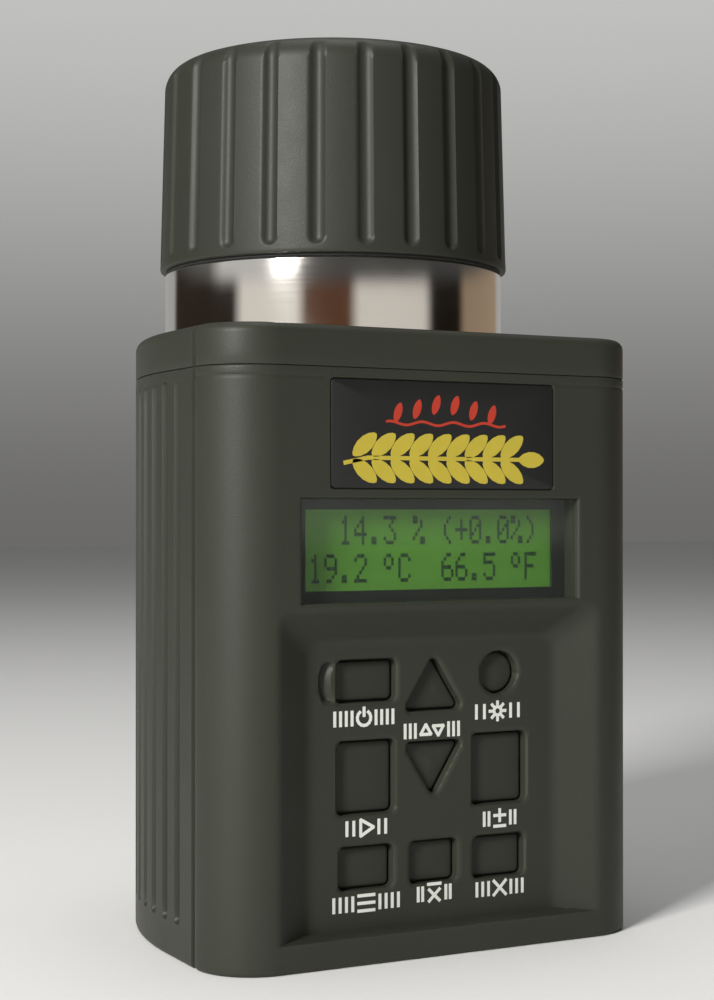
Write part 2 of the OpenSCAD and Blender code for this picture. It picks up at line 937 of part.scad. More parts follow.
module main_board() {
    color(board_color)
        difference() {
            face_prism(board_y, board_y + board_t)
                translate([0, board_mid_z])
                    square([2 * board_half_w, board_top_z - board_z], center = true);
            posts(board_holes, small_screw_r + run_gap, board_y - 1, board_y + board_t + 1, board_mid_z);
        }
}

module small_screws(list, y, zc) {
    for (p = list)
        translate([p[0], y, zc + p[1]])
            rotate([-90, 0, 0])
                screw(4.6, small_screw_r, 1.5, 0.9);
}

module board_screws() {
    color(metal_color) small_screws(board_holes, board_y + board_t + 0.9, board_mid_z);
}

module lcd_screws() {
    color(metal_color) small_screws(four(lcd_post), lcd_board_y + board_t + 0.9, lcd_z);
}

module main_chip() {
    color(black)
        face_prism(board_y + board_t, board_y + board_t + 1.8)
            translate([-8, board_z + 22]) square([13, 13], center = true);
}

module buzzer() {
    color(black)
        difference() {
            face_prism(board_y + board_t, board_y + board_t + 4.5)
                translate([20, board_z + 17]) circle(6);
            face_prism(board_y + board_t + 3, board_y + board_t + 6)
                translate([20, board_z + 17]) circle(1);
        }
}

// Flat cable between the two boards, left of the middle, with a socket at each end
module ribbon_cable() {
    back = lcd_board_y + board_t + 1.4;
    color([0.75, 0.75, 0.72]) {
        face_prism(board_y + board_t, back + 0.4)
            translate([ribbon_x, board_top_z - 5]) square([22, 4], center = true);
        face_prism(lcd_board_y + board_t, back + 0.4)
            translate([ribbon_x, lcd_z - lcd_board_half_h + 5]) square([22, 4], center = true);
        face_prism(back, back + 0.4)
            translate([ribbon_x, (board_top_z + lcd_z - lcd_board_half_h) / 2])
                square([18, 11.8], center = true);
    }
}

module dome_switches() {
    color(metal_color)
        for (k = KEYS)
            translate([k[1] * key_pitch, board_y, k[2]])
                rotate([90, 0, 0])
                    cylinder(r1 = 2.6, r2 = 1.6, h = dome_h);
}

module power_key() color(key_color) key(0);
module light_key() color(key_color) key(1);
module select_up_key() color(key_color) key(2);
module select_down_key() color(key_color) key(3);
module test_key() color(key_color) key(4);
module cal_key() color(key_color) key(5);
module memory_key() color(key_color) key(6);
module average_key() color(key_color) key(7);
module clear_key() color(key_color) key(8);

// Lug on the electrode's stud, and the wire from it to the board
module signal_lead() {
    lug_z = nut_z - 1.05;
    wire_y = board_y + board_t + 2.5;
    wire_end_z = board_top_z - 4;
    color([0.8, 0.7, 0.15]) {
        translate([0, 0, lug_z])
            ring(4.5, stud_r + run_gap, 0.9);
        translate([0, -4, lug_z + 0.45])
            rotate([90, 0, 0])
                cylinder(r = 0.7, h = -wire_y - 4);
        translate([0, wire_y, lug_z + 0.45])
            sphere(r = 0.7);
        translate([0, wire_y, wire_end_z])
            cylinder(r = 0.7, h = lug_z + 0.45 - wire_end_z);
        translate([0, wire_y, wire_end_z])
            sphere(r = 0.7);
        translate([0, wire_y, wire_end_z])
            rotate([90, 0, 0])
                cylinder(r = 0.7, h = wire_y - board_y - board_t);
    }
}

module battery_tray() {
    color(black)
        difference() {
            translate([-tray_half_w, tray_y, tray_z])
                cube([2 * tray_half_w, battery_back_y + 1 - tray_y, tray_top - tray_z]);
            translate([-tray_half_w + tray_wall, tray_y + tray_wall, tray_z + tray_wall])
                cube([2 * (tray_half_w - tray_wall), 2 * battery_t, tray_top]);
            translate([-8, tray_y - 1, lead_z - 2])
                cube([16, 4, 8]);
        }
}

module battery() {
    color([0.15, 0.15, 0.17]) {
        translate([-battery_w / 2, battery_back_y - battery_t, battery_z])
            cube([battery_w, battery_t, battery_h]);
        translate([terminal_x, battery_back_y - battery_t / 2, battery_z + battery_h - eps])
            cylinder(r = 2.85, h = terminal_h);
        translate([-terminal_x, battery_back_y - battery_t / 2, battery_z + battery_h - eps])
            cylinder(r = 3.7, h = terminal_h);
    }
}

module battery_clip() {
    color(black)
        difference() {
            translate([-battery_w / 2 + 0.5, battery_back_y - battery_t + 1.5, clip_z])
                cube([battery_w - 1, battery_t - 3, clip_t]);
            for (s = [-1, 1])
                translate([s * terminal_x, battery_back_y - battery_t / 2, clip_z - 1])
                    cylinder(r = 4, h = terminal_h + 1.1);
        }
}

// A battery wire, straight from the clip to the board
module battery_lead(x) {
    start_y = battery_back_y - battery_t + 1.5;
    end_y = board_y + board_t;
    translate([x, start_y, lead_z])
        rotate([90, 0, 0])
            cylinder(r = 0.7, h = start_y - end_y);
}

module battery_lead_plus() color([0.7, 0.05, 0.05]) battery_lead(5);
module battery_lead_minus() color(black) battery_lead(-5);

module battery_door() {
    leg_x = battery_w / 2 + 0.3;
    leg_l = 14;
    color(case_color) {
        intersection() {
            difference() {
                cylinder(r = back_r, h = body_h);
                translate([0, 0, -1])
                    cylinder(r = back_r - wall + 0.3, h = body_h + 2);
            }
            translate([-door_half_w, 0, door_z])
                cube([2 * door_half_w, 2 * back_r, door_top - door_z]);
        }
        for (s = [-1, 1])
            translate([s > 0 ? leg_x : -leg_x - leg_t, battery_back_y - leg_l + 4, door_z + 8])
                cube([leg_t, leg_l, 24]);
    }
}

module door_pad() {
    color([0.2, 0.2, 0.2])
        translate([-9, battery_back_y + 0.3, battery_z + 8])
            cube([18, sqrt(pow(back_r - wall, 2) - 81) - battery_back_y - 0.3, battery_h - 16]);
}

module cover_screws() {
    color(metal_color)
        for (c = columns)
            translate([c[0], c[1], body_h - 0.15])
                screw(screw_l + 1);
}

module base_screws() {
    color(metal_color)
        for (c = columns)
            translate([c[0], c[1], 0.15])
                rotate([180, 0, 0])
                    screw(screw_l - 2);
}

front_shell();
rear_shell();
top_cover();
base_plate();
cell_carrier();
cell_tube();
cell_gasket();
cell_floor();
floor_retainer();
electrode();
electrode_nut();
temperature_sensor();
cap_shell();
cap_thread_insert();
rim_washer();
guide_bush();
bush_retainer();
retainer_screws();
pressure_plate();
plunger_stem();
indicator_button();
plate_spring();
label_plate();
lcd_window();
lcd_bezel();
lcd_glass();
lcd_backlight();
lcd_board();
main_board();
main_chip();
buzzer();
ribbon_cable();
dome_switches();
power_key();
light_key();
select_up_key();
select_down_key();
test_key();
cal_key();
memory_key();
average_key();
clear_key();
signal_lead();
battery_tray();
battery();
battery_clip();
battery_lead_plus();
battery_lead_minus();
battery_door();
door_pad();
cover_screws();
base_screws();
board_screws();
lcd_screws();
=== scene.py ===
import json
import math
import bpy
import bmesh
import numpy as np
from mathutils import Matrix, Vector


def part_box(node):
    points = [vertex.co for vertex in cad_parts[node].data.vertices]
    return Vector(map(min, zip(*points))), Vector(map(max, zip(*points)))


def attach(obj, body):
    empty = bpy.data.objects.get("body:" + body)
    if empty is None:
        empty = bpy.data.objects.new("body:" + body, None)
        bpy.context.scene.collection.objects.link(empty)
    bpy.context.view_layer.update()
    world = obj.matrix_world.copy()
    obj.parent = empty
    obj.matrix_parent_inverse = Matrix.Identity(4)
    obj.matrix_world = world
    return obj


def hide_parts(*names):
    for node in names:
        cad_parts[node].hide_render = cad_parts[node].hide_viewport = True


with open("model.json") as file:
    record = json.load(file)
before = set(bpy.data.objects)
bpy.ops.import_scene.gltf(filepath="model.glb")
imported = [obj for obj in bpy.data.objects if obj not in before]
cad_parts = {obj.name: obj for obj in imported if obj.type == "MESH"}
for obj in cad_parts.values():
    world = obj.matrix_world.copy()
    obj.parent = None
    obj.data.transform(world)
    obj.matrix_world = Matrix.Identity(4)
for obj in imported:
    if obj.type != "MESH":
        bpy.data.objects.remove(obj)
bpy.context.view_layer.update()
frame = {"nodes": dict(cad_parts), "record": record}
nodes = frame["nodes"]
scene = bpy.context.scene
mm = 0.001


def nodeBox(name):
    # lowest and highest corner of a frame node, in millimetres
    low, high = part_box(name)
    return np.array(low) / mm, np.array(high) / mm


# Fields and blends that the shapes are made of, all in millimetres

def ease(value, start, end):
    # 0 before start, 1 after end, and 3t^2 - 2t^3 between them
    t = np.clip((value - start) / (end - start), 0, 1)
    return t * t * (3 - 2 * t)


def softMin(a, b, blendOver):
    # the lower of two fields, with a parabola where they differ by less than blendOver
    near = np.maximum(blendOver - np.abs(a - b), 0) / blendOver
    return np.minimum(a, b) - near * near * blendOver / 4


def softMax(a, b, blendOver):
    # the higher of two fields: the lower of their negatives, turned back
    return -softMin(-a, -b, blendOver)


def edgeRound(distance, radius):
    # how far a quarter circle falls away at a distance from the edge that it rounds
    t = radius - np.clip(distance, 0, radius)
    return radius - np.sqrt(np.maximum(radius * radius - t * t, 0))


def slotField(x, z, centreX, centreZ, halfWidth, halfHeight, radius):
    # distance to a rectangle with round corners, negative inside it
    a = np.abs(x - centreX) - halfWidth + radius
    b = np.abs(z - centreZ) - halfHeight + radius
    outside = np.sqrt(np.maximum(a, 0) ** 2 + np.maximum(b, 0) ** 2)
    return outside + np.minimum(np.maximum(a, b), 0) - radius


def gridLines(base, edges, near=(-0.3, -0.12, 0, 0.12, 0.3)):
    # evenly spaced lines, with a few more close to each edge
    special = (np.array(edges, float)[:, None] + np.array(near)).ravel()
    special = special[(special >= base[0] - 1e-6) & (special <= base[-1] + 1e-6)]
    ends = base[[0, -1]]
    free = base[np.min(np.abs(base[:, None] - special), axis=1) > 0.22]
    return np.unique(np.round(np.concatenate([free, special, ends]), 4))


def paced(*stops):
    # stops and the steps between them: start, step, stop, step, stop
    parts = [np.linspace(a, b, max(2, int(round((b - a) / step)) + 1))
             for a, step, b in zip(stops[0:-2:2], stops[1:-1:2], stops[2::2])]
    return np.unique(np.round(np.concatenate(parts), 4))


# Meshes from arrays

def volumeOf(points, faceSets):
    # six times the volume inside: a . (b x c) over each face's fan of triangles, summed
    total = 0.0
    for faces in faceSets:
        for k in range(1, faces.shape[1] - 1):
            a, b, c = points[faces[:, 0]], points[faces[:, k]], points[faces[:, k + 1]]
            total += np.einsum("ij,ij->i", a, np.cross(b, c)).sum()
    return total


def meshPiece(name, points, faceSets, material, body, stands=(), slotName=None, sharp=36):
    # points in millimetres; faceSets holds one index array for each number of corners
    points = np.asarray(points, float).reshape(-1, 3)
    faceSets = [np.asarray(f, np.int64) for f in faceSets if len(f)]
    used, inverse = np.unique(np.concatenate([f.ravel() for f in faceSets]), return_inverse=True)
    points = points[used]
    sizes = [f.shape for f in faceSets]
    parts = np.split(inverse, np.cumsum([a * b for a, b in sizes])[:-1])
    faceSets = [p.reshape(s) for p, s in zip(parts, sizes)]
    if volumeOf(points, faceSets) < 0:
        faceSets = [f[:, ::-1] for f in faceSets]
    mesh = bpy.data.meshes.new(name)
    mesh.vertices.add(len(points))
    mesh.vertices.foreach_set("co", (points * mm).ravel())
    corners = np.concatenate([f.ravel() for f in faceSets])
    counts = np.concatenate([np.full(len(f), f.shape[1]) for f in faceSets])
    mesh.loops.add(len(corners))
    mesh.loops.foreach_set("vertex_index", corners.astype(np.int32))
    mesh.polygons.add(len(counts))
    mesh.polygons.foreach_set("loop_start", (np.cumsum(counts) - counts).astype(np.int32))
    mesh.update(calc_edges=True)
    mesh.validate()
    mesh.shade_smooth()
    mesh.set_sharp_from_angle(angle=math.radians(sharp))
    piece = bpy.data.objects.new(name, mesh)
    scene.collection.objects.link(piece)
    mesh.materials.append(material)
    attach(piece, body)
    if stands:
        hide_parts(*stands)
    return piece


def gridFaces(columns, rows, wrapColumns=False, wrapRows=False):
    # the corners of each cell, with point (i, j) numbered i * rows + j
    i = np.arange(columns if wrapColumns else columns - 1)[:, None]
    j = np.arange(rows if wrapRows else rows - 1)[None, :]
    a = i * rows + j
    b = (i + 1) % columns * rows + j
    c = (i + 1) % columns * rows + (j + 1) % rows
    d = i * rows + (j + 1) % rows
    return np.stack([a, b, c, d], axis=-1)


def shellPiece(name, outer, inner, keep, wrap, material, body, **facts):
    # two grids with the same lines, one behind the other, closed round every edge and hole
    columns, rows = outer.shape[:2]
    front = gridFaces(columns, rows, wrap)[keep].reshape(-1, 4)
    edges = np.concatenate([front[:, [k, (k + 1) % 4]] for k in range(4)])
    count = columns * rows
    single = ~np.isin(edges[:, 0] * count + edges[:, 1], edges[:, 1] * count + edges[:, 0])
    rim = edges[single]
    side = np.stack([rim[:, 1], rim[:, 0], rim[:, 0] + count, rim[:, 1] + count], axis=-1)
    points = np.concatenate([outer.reshape(-1, 3), inner.reshape(-1, 3)])
    return meshPiece(name, points, [np.concatenate([front, front[:, ::-1] + count, side])], material, body, **facts)


def turnedPiece(name, profile, steps, material, body, lower=None, **facts):
    # a closed profile of (radius, height) carried round +Z, lowered by a field of angle, height and row
    angle = np.linspace(0, 2 * np.pi, steps, endpoint=False)[:, None]
    radius, height = profile[:, 0][None, :], profile[:, 1][None, :]
    if lower is not None:
        radius = radius - lower(angle, height)
    points = np.stack(np.broadcast_arrays(radius * np.cos(angle), radius * np.sin(angle), height), axis=-1)
    faces = gridFaces(steps, profile.shape[0], True, True).reshape(-1, 4)
    return meshPiece(name, points, [faces], material, body, **facts)


def roundedOutline(corners, radius, steps):
    # arcs of one radius about each corner's centre, joined by straight edges; points and normals
    corners = np.array(corners, float)
    count = len(corners)
    if count == 1:
        angle = np.linspace(0, 2 * np.pi, steps, endpoint=False)
        normal = np.stack([np.cos(angle), np.sin(angle)], axis=-1)
        return corners[0] + radius * normal, normal
    ahead = np.roll(corners, -1, axis=0) - corners
    heading = np.arctan2(ahead[:, 1], ahead[:, 0]) - np.pi / 2
    before = np.roll(heading, 1)
    turn = (heading - before) % (2 * np.pi)
    angle = before[:, None] + turn[:, None] * np.linspace(0, 1, steps)[None, :]
    normal = np.stack([np.cos(angle), np.sin(angle)], axis=-1)
    points = corners[:, None, :] + radius * normal
    return points.reshape(-1, 2), normal.reshape(-1, 2)


def loftPiece(name, outline, normals, centre, rings, material, body, **facts):
    # rings of (inset, scale, y): the outline drawn in by inset, then scaled towards its centre
    points, normals = np.asarray(outline), np.asarray(normals)
    inset, scale, depth = [np.array(v)[:, None] for v in zip(*rings)]
    x = (points[None, :, 0] - normals[None, :, 0] * inset) * scale + centre[0]
    z = (points[None, :, 1] - normals[None, :, 1] * inset) * scale + centre[1]
    grid = np.stack(np.broadcast_arrays(x, depth, z), axis=-1)
    count, around = grid.shape[:2]
    poles = np.array([[centre[0], rings[0][2], centre[1]], [centre[0], rings[-1][2], centre[1]]])
    quads = gridFaces(around, count, True).reshape(-1, 4)
    quads = quads % count * around + quads // count
    k = np.arange(around)
    first = np.stack([k, (k + 1) % around, np.full(around, count * around)], axis=-1)
    base = (count - 1) * around
    last = np.stack([base + (k + 1) % around, base + k, np.full(around, count * around + 1)], axis=-1)
    return meshPiece(name, np.concatenate([grid.reshape(-1, 3), poles]), [quads[:, ::-1], first[:, ::-1], last[:, ::-1]],
                     material, body, **facts)


def prismPiece(name, shapes, yFront, yBack, material, body, **facts):
    # many flat shapes, each a ring of (x, z) points, given the same thickness
    points, faceSets, start = [], [], 0
    for shape in shapes:
        shape = np.asarray(shape, float)
        count, corners = shape.shape[:2]
        level = yFront - 0.003 * (np.arange(count) % 5)[:, None]  # neighbours never share a face
        front = np.stack([shape[..., 0], np.broadcast_to(level, (count, corners)), shape[..., 1]], axis=-1)
        back = front.copy()
        back[..., 1] = yBack
        points += [front.reshape(-1, 3), back.reshape(-1, 3)]
        ring = start + np.arange(count * corners).reshape(count, corners)
        ahead, behind = np.roll(ring, -1, axis=1), ring + count * corners
        faceSets += [ring, behind[:, ::-1], np.stack([ahead, ring, behind, np.roll(behind, -1, axis=1)], axis=-1).reshape(-1, 4)]
        start += 2 * count * corners
    return meshPiece(name, np.concatenate(points), faceSets, material, body, **facts)


def strokes(lines, width):
    # each straight piece of each line as a thin rectangle
    lines = [np.asarray(line, float) for line in lines]
    a = np.concatenate([line[:-1] for line in lines])
    b = np.concatenate([line[1:] for line in lines])
    along = b - a
    along /= np.linalg.norm(along, axis=1, keepdims=True)
    across = np.stack([-along[:, 1], along[:, 0]], axis=-1) * width / 2
    a, b = a - along * width * 0.25, b + along * width * 0.25
    return np.stack([a - across, b - across, b + across, a + across], axis=1)


def arc(x, z, radius, start, end, steps=12):
    # radius * (cos, sin) about a centre, from start to end in degrees
    angle = np.radians(np.linspace(start, end, steps + 1))
    return np.stack([x + radius * np.cos(angle), z + radius * np.sin(angle)], axis=-1)


# Materials

class Flow:
    # a socket in a material, so that sums on it read as sums
    def __init__(self, tree, socket):
        self.tree = tree
        self.socket = socket

    def maths(self, kind, a, b=0.0):
        return self.tree.node("ShaderNodeMath", {"operation": kind}, {0: a, 1: b})

    def __add__(self, other):
        return self.maths("ADD", self, other)

    def __radd__(self, other):
        return self.maths("ADD", other, self)

    def __sub__(self, other):
        return self.maths("SUBTRACT", self, other)

    def __rsub__(self, other):
        return self.maths("SUBTRACT", other, self)

    def __mul__(self, other):
        return self.maths("MULTIPLY", self, other)

    def __rmul__(self, other):
        return self.maths("MULTIPLY", other, self)

    def above(self, level):
        return self.maths("GREATER_THAN", self, level)

    def power(self, exponent):
        return self.maths("POWER", self, exponent)

    def size(self):
        return self.maths("ABSOLUTE", self)

    def wave(self):
        return self.maths("SINE", self)


class Finish:
    # one material, or the world: its nodes come from node(), and a material's shader from surface()
    def __init__(self, name, world=None):
        self.material = world or bpy.data.materials.new(name)
        self.material.use_nodes = True
        self.nodes = self.material.node_tree.nodes
        self.links = self.material.node_tree.links
        self.nodes.clear()
        self.place = self.node("ShaderNodeTexCoord", {}, {}, "Generated" if world else "Object")

    def node(self, kind, settings, inputs, output=0):
        made = self.nodes.new(kind)
        for key, value in settings.items():
            if key == "stops":
                ramp = made.color_ramp
                while len(ramp.elements) < len(value):
                    ramp.elements.new(0.5)
                for element, (at, colour) in zip(ramp.elements, value):
                    element.position = at
                    element.color = (*colour, 1) if len(colour) == 3 else colour
            else:
                setattr(made, key, value)
        for key, value in inputs.items():
            socket = made.inputs[key]
            if isinstance(value, Flow):
                self.links.new(value.socket, socket)
            else:
                if socket.type == "RGBA" and len(value) == 3:
                    value = (*value, 1)
                socket.default_value = value
        return Flow(self, made.outputs[output]) if made.outputs else None

    def noise(self, scale, detail=3.0, rough=0.55, stretch=None):
        vector = self.place
        if stretch:
            vector = self.node("ShaderNodeVectorMath", {"operation": "MULTIPLY"}, {0: self.place, 1: stretch})
        return self.node("ShaderNodeTexNoise", {}, {"Vector": vector, "Scale": scale, "Detail": detail, "Roughness": rough})

    def mix(self, factor, a, b):
        made = self.nodes.new("ShaderNodeMix")
        made.data_type = "RGBA"
        for key, value in ((0, factor), (6, a), (7, b)):
            if isinstance(value, Flow):
                self.links.new(value.socket, made.inputs[key])
            else:
                made.inputs[key].default_value = (*value, 1) if key > 0 else value
        return Flow(self, made.outputs[2])

    def axis(self, index):
        return self.node("ShaderNodeSeparateXYZ", {}, {0: self.place}, index)

    def bump(self, height, strength, distance):
        return self.node("ShaderNodeBump", {}, {"Height": height, "Strength": strength, "Distance": distance})

    def surface(self, **inputs):
        named = {key.replace("_", " "): value for key, value in inputs.items()}
        shader = self.node("ShaderNodeBsdfPrincipled", {}, named)
        self.node("ShaderNodeOutputMaterial", {}, {"Surface": shader})
        return self.material


def shade(colour, factor):
    return tuple(min(1.0, c * factor) for c in colour)


def mouldedPlastic(name, colour, rough, grainScale=2300, grainDepth=0.00006, wear=0.35):
    # satin moulding: fine spark texture, slow colour drift, paler rubbed edges and a little handling gloss
    f = Finish(name)
    grain = f.noise(grainScale, 2.0, 0.6)
    drift = f.noise(38, 3.0)
    handling = f.noise(120, 4.0, 0.65)
    edge = f.node("ShaderNodeNewGeometry", {}, {}, "Pointiness")
    rubbed = f.node("ShaderNodeMapRange", {}, {"Value": edge, "From Min": 0.515, "From Max": 0.58, "To Min": 0.0, "To Max": wear})
    base = f.mix(drift, shade(colour, 0.88), shade(colour, 1.12))
    base = f.mix(f.noise(900, 2.0) * 0.35, base, shade(colour, 1.3))
    base = f.mix(rubbed * handling * 1.6, base, shade(colour, 1.9))
    roughness = rough - 0.07 + 0.14 * handling + 0.05 * grain
    normal = f.bump(grain + 0.25 * handling, 0.45, grainDepth)
    return f.surface(Base_Color=base, Roughness=roughness, Normal=normal, Specular_IOR_Level=0.28)


def turnedMetal(name, colour, rough, lines=2600, lineDepth=0.000004, tarnish=0.12):
    # polished or machined metal: fine lines round +Z, faint smears, slow tarnish
    f = Finish(name)
    fine = f.noise(1.0, 3.0, 0.6, (30, 30, lines))
    smear = f.noise(90, 4.0, 0.6)
    dull = f.noise(26, 3.0)
    base = f.mix(dull * tarnish * 4, colour, shade(colour, 0.72))
    roughness = rough - 0.03 + 0.08 * smear + 0.05 * fine
    normal = f.bump(fine, 0.25, lineDepth)
    return f.surface(Base_Color=base, Roughness=roughness, Normal=normal, Metallic=1.0)


def softRubber(name, colour):
    # matt rubber: fine dust over a tight grain
    f = Finish(name)
    dust = f.noise(400, 4.0, 0.7)
    base = f.mix(dust, shade(colour, 0.8), shade(colour, 1.7))
    return f.surface(Base_Color=base, Roughness=0.62 + 0.2 * dust, Normal=f.bump(f.noise(1800), 0.4, 0.00005))


def glossPlastic(name, colour, rough=0.22):
    # smooth moulding: faint clouds, specks that dull the gloss, a slight ripple
    f = Finish(name)
    cloud = f.noise(70, 3.0)
    base = f.mix(cloud, shade(colour, 0.9), shade(colour, 1.08))
    fleck = f.noise(600, 4.0, 0.7)
    normal = f.bump(f.noise(160), 0.15, 0.00008)
    return f.surface(Base_Color=base, Roughness=rough + 0.12 * fleck, Normal=normal, Coat_Weight=0.15)


def printInk(name, colour, rough=0.42):
    # screen-printed ink: slightly uneven, with a faint weave of the screen
    f = Finish(name)
    patch = f.noise(260, 4.0, 0.65)
    base = f.mix(patch, shade(colour, 0.84), shade(colour, 1.06))
    return f.surface(Base_Color=base, Roughness=rough + 0.14 * patch, Normal=f.bump(f.noise(5200, 1.0), 0.2, 0.00002))


def circuitBoard(name, colour):
    # green mask over copper tracks: blocks of lines at right angles
    f = Finish(name)
    x, z = f.axis("X"), f.axis("Z")
    track = ((x * 2600 + (z * 700).wave() * 2.5).wave()).above(0.55)
    cross = ((z * 2100 + (x * 500).wave() * 3.0).wave()).above(0.75)
    area = f.noise(55, 1.0).above(0.5)
    copper = track * area + cross * (1 - area)
    base = f.mix(copper * 0.8, colour, shade(colour, 2.3))
    speck = f.noise(700)
    return f.surface(Base_Color=base, Roughness=0.3 + 0.15 * speck, Normal=f.bump(copper, 0.3, 0.00006))


def backlitGlass(name, colour, glow):
    # a lit panel, brighter in the middle and towards the lamps at its ends, with the faint grid of the cells
    f = Finish(name)
    x, z = f.axis("X"), f.axis("Z")
    ends = (x * 36.0).size().power(2.5)
    cloud = f.noise(55, 2.0)
    lift = (z - 0.0784) * 26.0
    cells = ((x * 1951.0).wave().size() * (z * 560.0).wave().size()).above(0.14)
    level = 0.70 + 0.24 * cloud - 0.16 * ends - 0.06 * cells + lift * lift.size() * -2.0 - 0.12 * lift
    lit = f.mix(level, shade(colour, 0.35), shade(colour, 1.15))
    return f.surface(Base_Color=lit, Roughness=0.2 + 0.1 * cloud, Emission_Color=lit, Emission_Strength=glow)


def clearPane(name):
    # a clear pane: mostly let through, with a thin gloss and a few finger smears
    f = Finish(name)
    smear = f.noise(85, 5.0, 0.7)
    gloss = f.node("ShaderNodeBsdfGlossy", {}, {"Color": (0.9, 0.93, 0.92), "Roughness": 0.06})
    clear = f.node("ShaderNodeBsdfTransparent", {}, {"Color": (0.95, 0.97, 0.955)})
    facing = f.node("ShaderNodeLayerWeight", {}, {"Blend": 0.5}, "Facing")  # the same on both faces of the pane
    both = f.node("ShaderNodeMixShader", {}, {0: facing.power(5) * 0.85 + smear * 0.015 + 0.02, 1: clear, 2: gloss})
    f.node("ShaderNodeOutputMaterial", {}, {"Surface": both})
    return f.material


finishes = {
    "case": mouldedPlastic("casePlastic", (0.026, 0.028, 0.020), 0.47),
    "cap": mouldedPlastic("capPlastic", (0.023, 0.025, 0.018), 0.47, wear=0.5),
    "keys": mouldedPlastic("keyPlastic", (0.024, 0.026, 0.019), 0.48, grainScale=3200, wear=0.25),
    "plating": turnedMetal("collarPlating", (0.86, 0.83, 0.78), 0.075, tarnish=0.05),
    "steel": turnedMetal("screwSteel", (0.62, 0.61, 0.58), 0.28),
    "brass": turnedMetal("insertBrass", (0.72, 0.52, 0.22), 0.24),
    "rubber": softRubber("sealRubber", (0.022, 0.022, 0.021)),
    "natural": mouldedPlastic("naturalNylon", (0.74, 0.70, 0.60), 0.42, wear=0.1),
    "black": mouldedPlastic("blackPlastic", (0.024, 0.024, 0.023), 0.40),
    "red": glossPlastic("redPlastic", (0.55, 0.025, 0.018)),
    "labelFilm": printInk("labelFilm", (0.006, 0.006, 0.006), 0.46),
    "yellowInk": printInk("yellowInk", (0.50, 0.40, 0.040)),
    "redInk": printInk("redInk", (0.45, 0.035, 0.015)),
    "whiteInk": printInk("whiteInk", (0.72, 0.73, 0.68)),
    "lcdInk": printInk("lcdSegments", (0.012, 0.045, 0.014)),
    "bezel": mouldedPlastic("bezelBlack", (0.013, 0.015, 0.012), 0.42),
    "display": backlitGlass("displayGlow", (0.070, 0.20, 0.020), 0.15),
    "window": clearPane("windowPane"),
    "board": circuitBoard("boardMask", (0.016, 0.13, 0.045)),
    "battery": glossPlastic("batterySleeve", (0.055, 0.060, 0.075), 0.3),
}
print("materials ready", len(finishes))


# Casing: the outline is arcs and straights in plan, and a point on it is moved inwards along its normal

shellLow, shellHigh = nodeBox("front_shell")
rearHigh = nodeBox("rear_shell")[1]
coverHigh = nodeBox("top_cover")[1]
casing = {
    "halfWidth": float(shellHigh[0]), "front": float(shellLow[1]), "split": -36.2, "corner": 12.0, "side": 80.0,
    "back": float(rearHigh[1]), "seam": float(shellHigh[2]), "top": float(coverHigh[2]), "wall": 2.5,
    "footRound": 0.9, "seamRound": 0.4, "partingWidth": 1.4, "partingDepth": 0.8, "seamLineDepth": 0.16,
}
cornerX = casing["halfWidth"] - casing["corner"]
cornerY = casing["front"] + casing["corner"]
bowX = casing["side"] - casing["halfWidth"]
bowY = -math.sqrt((casing["side"] - casing["back"]) ** 2 - bowX ** 2)
bowTurn = math.atan2(-bowY, bowX)


def cornerColumns(steps, side):
    # the front corner, from where the shells part round to the flat front, or mirrored
    start = np.pi + math.asin((cornerY - casing["split"]) / casing["corner"])
    angle = np.linspace(start, 1.5 * np.pi, steps, endpoint=False)
    normal = np.stack([np.cos(angle), np.sin(angle)], axis=-1)
    points = casing["corner"] * normal + [-cornerX, cornerY]
    if side > 0:
        points, normal = points[::-1] * [-1, 1], normal[::-1] * [-1, 1]
    return points, normal


def flatColumns(xs):
    # straight across the front, every normal towards -Y
    return np.stack([xs, np.full(len(xs), casing["front"])], axis=-1), np.tile([0.0, -1.0], (len(xs), 1))


def sideColumns(ys, side):
    # straight up to bowY, then an arc of the side's radius
    turn = np.arcsin(np.clip((ys - bowY) / casing["side"], 0, 1))
    normal = np.stack([np.cos(turn), np.sin(turn)], axis=-1)
    points = np.stack([casing["side"] * np.cos(turn) - bowX, ys], axis=-1)
    if side < 0:
        points, normal = points[::-1] * [-1, 1], normal[::-1] * [-1, 1]
    return points, normal


def backColumns(angles):
    # an arc about the axis: the back's radius times (cos, sin), with (cos, sin) as its normal
    normal = np.stack([np.cos(angles), np.sin(angles)], axis=-1)
    return casing["back"] * normal, normal


def joined(*parts):
    # runs of (points, normals) end to end
    return np.concatenate([p[0] for p in parts]), np.concatenate([p[1] for p in parts])


def standing(plan, normals, zs, inset):
    # the outline carried up +Z, drawn in by inset at each column and row
    plan = plan[:, None, :] - normals[:, None, :] * inset[..., None]
    height = np.broadcast_to(zs, inset.shape)
    return np.concatenate([plan, height[..., None]], axis=-1)


def partingField(x, y):
    # one depth across the parting groove, eased in and out at its sides, and none on the flat front
    inGroove = ease(y, casing["split"] - 0.04, casing["split"] + 0.08)
    pastGroove = ease(y, casing["split"] + casing["partingWidth"] - 0.08, casing["split"] + casing["partingWidth"] + 0.12)
    return casing["partingDepth"] * inGroove * (1 - pastGroove) * (np.abs(x) > cornerX)


# Front shell

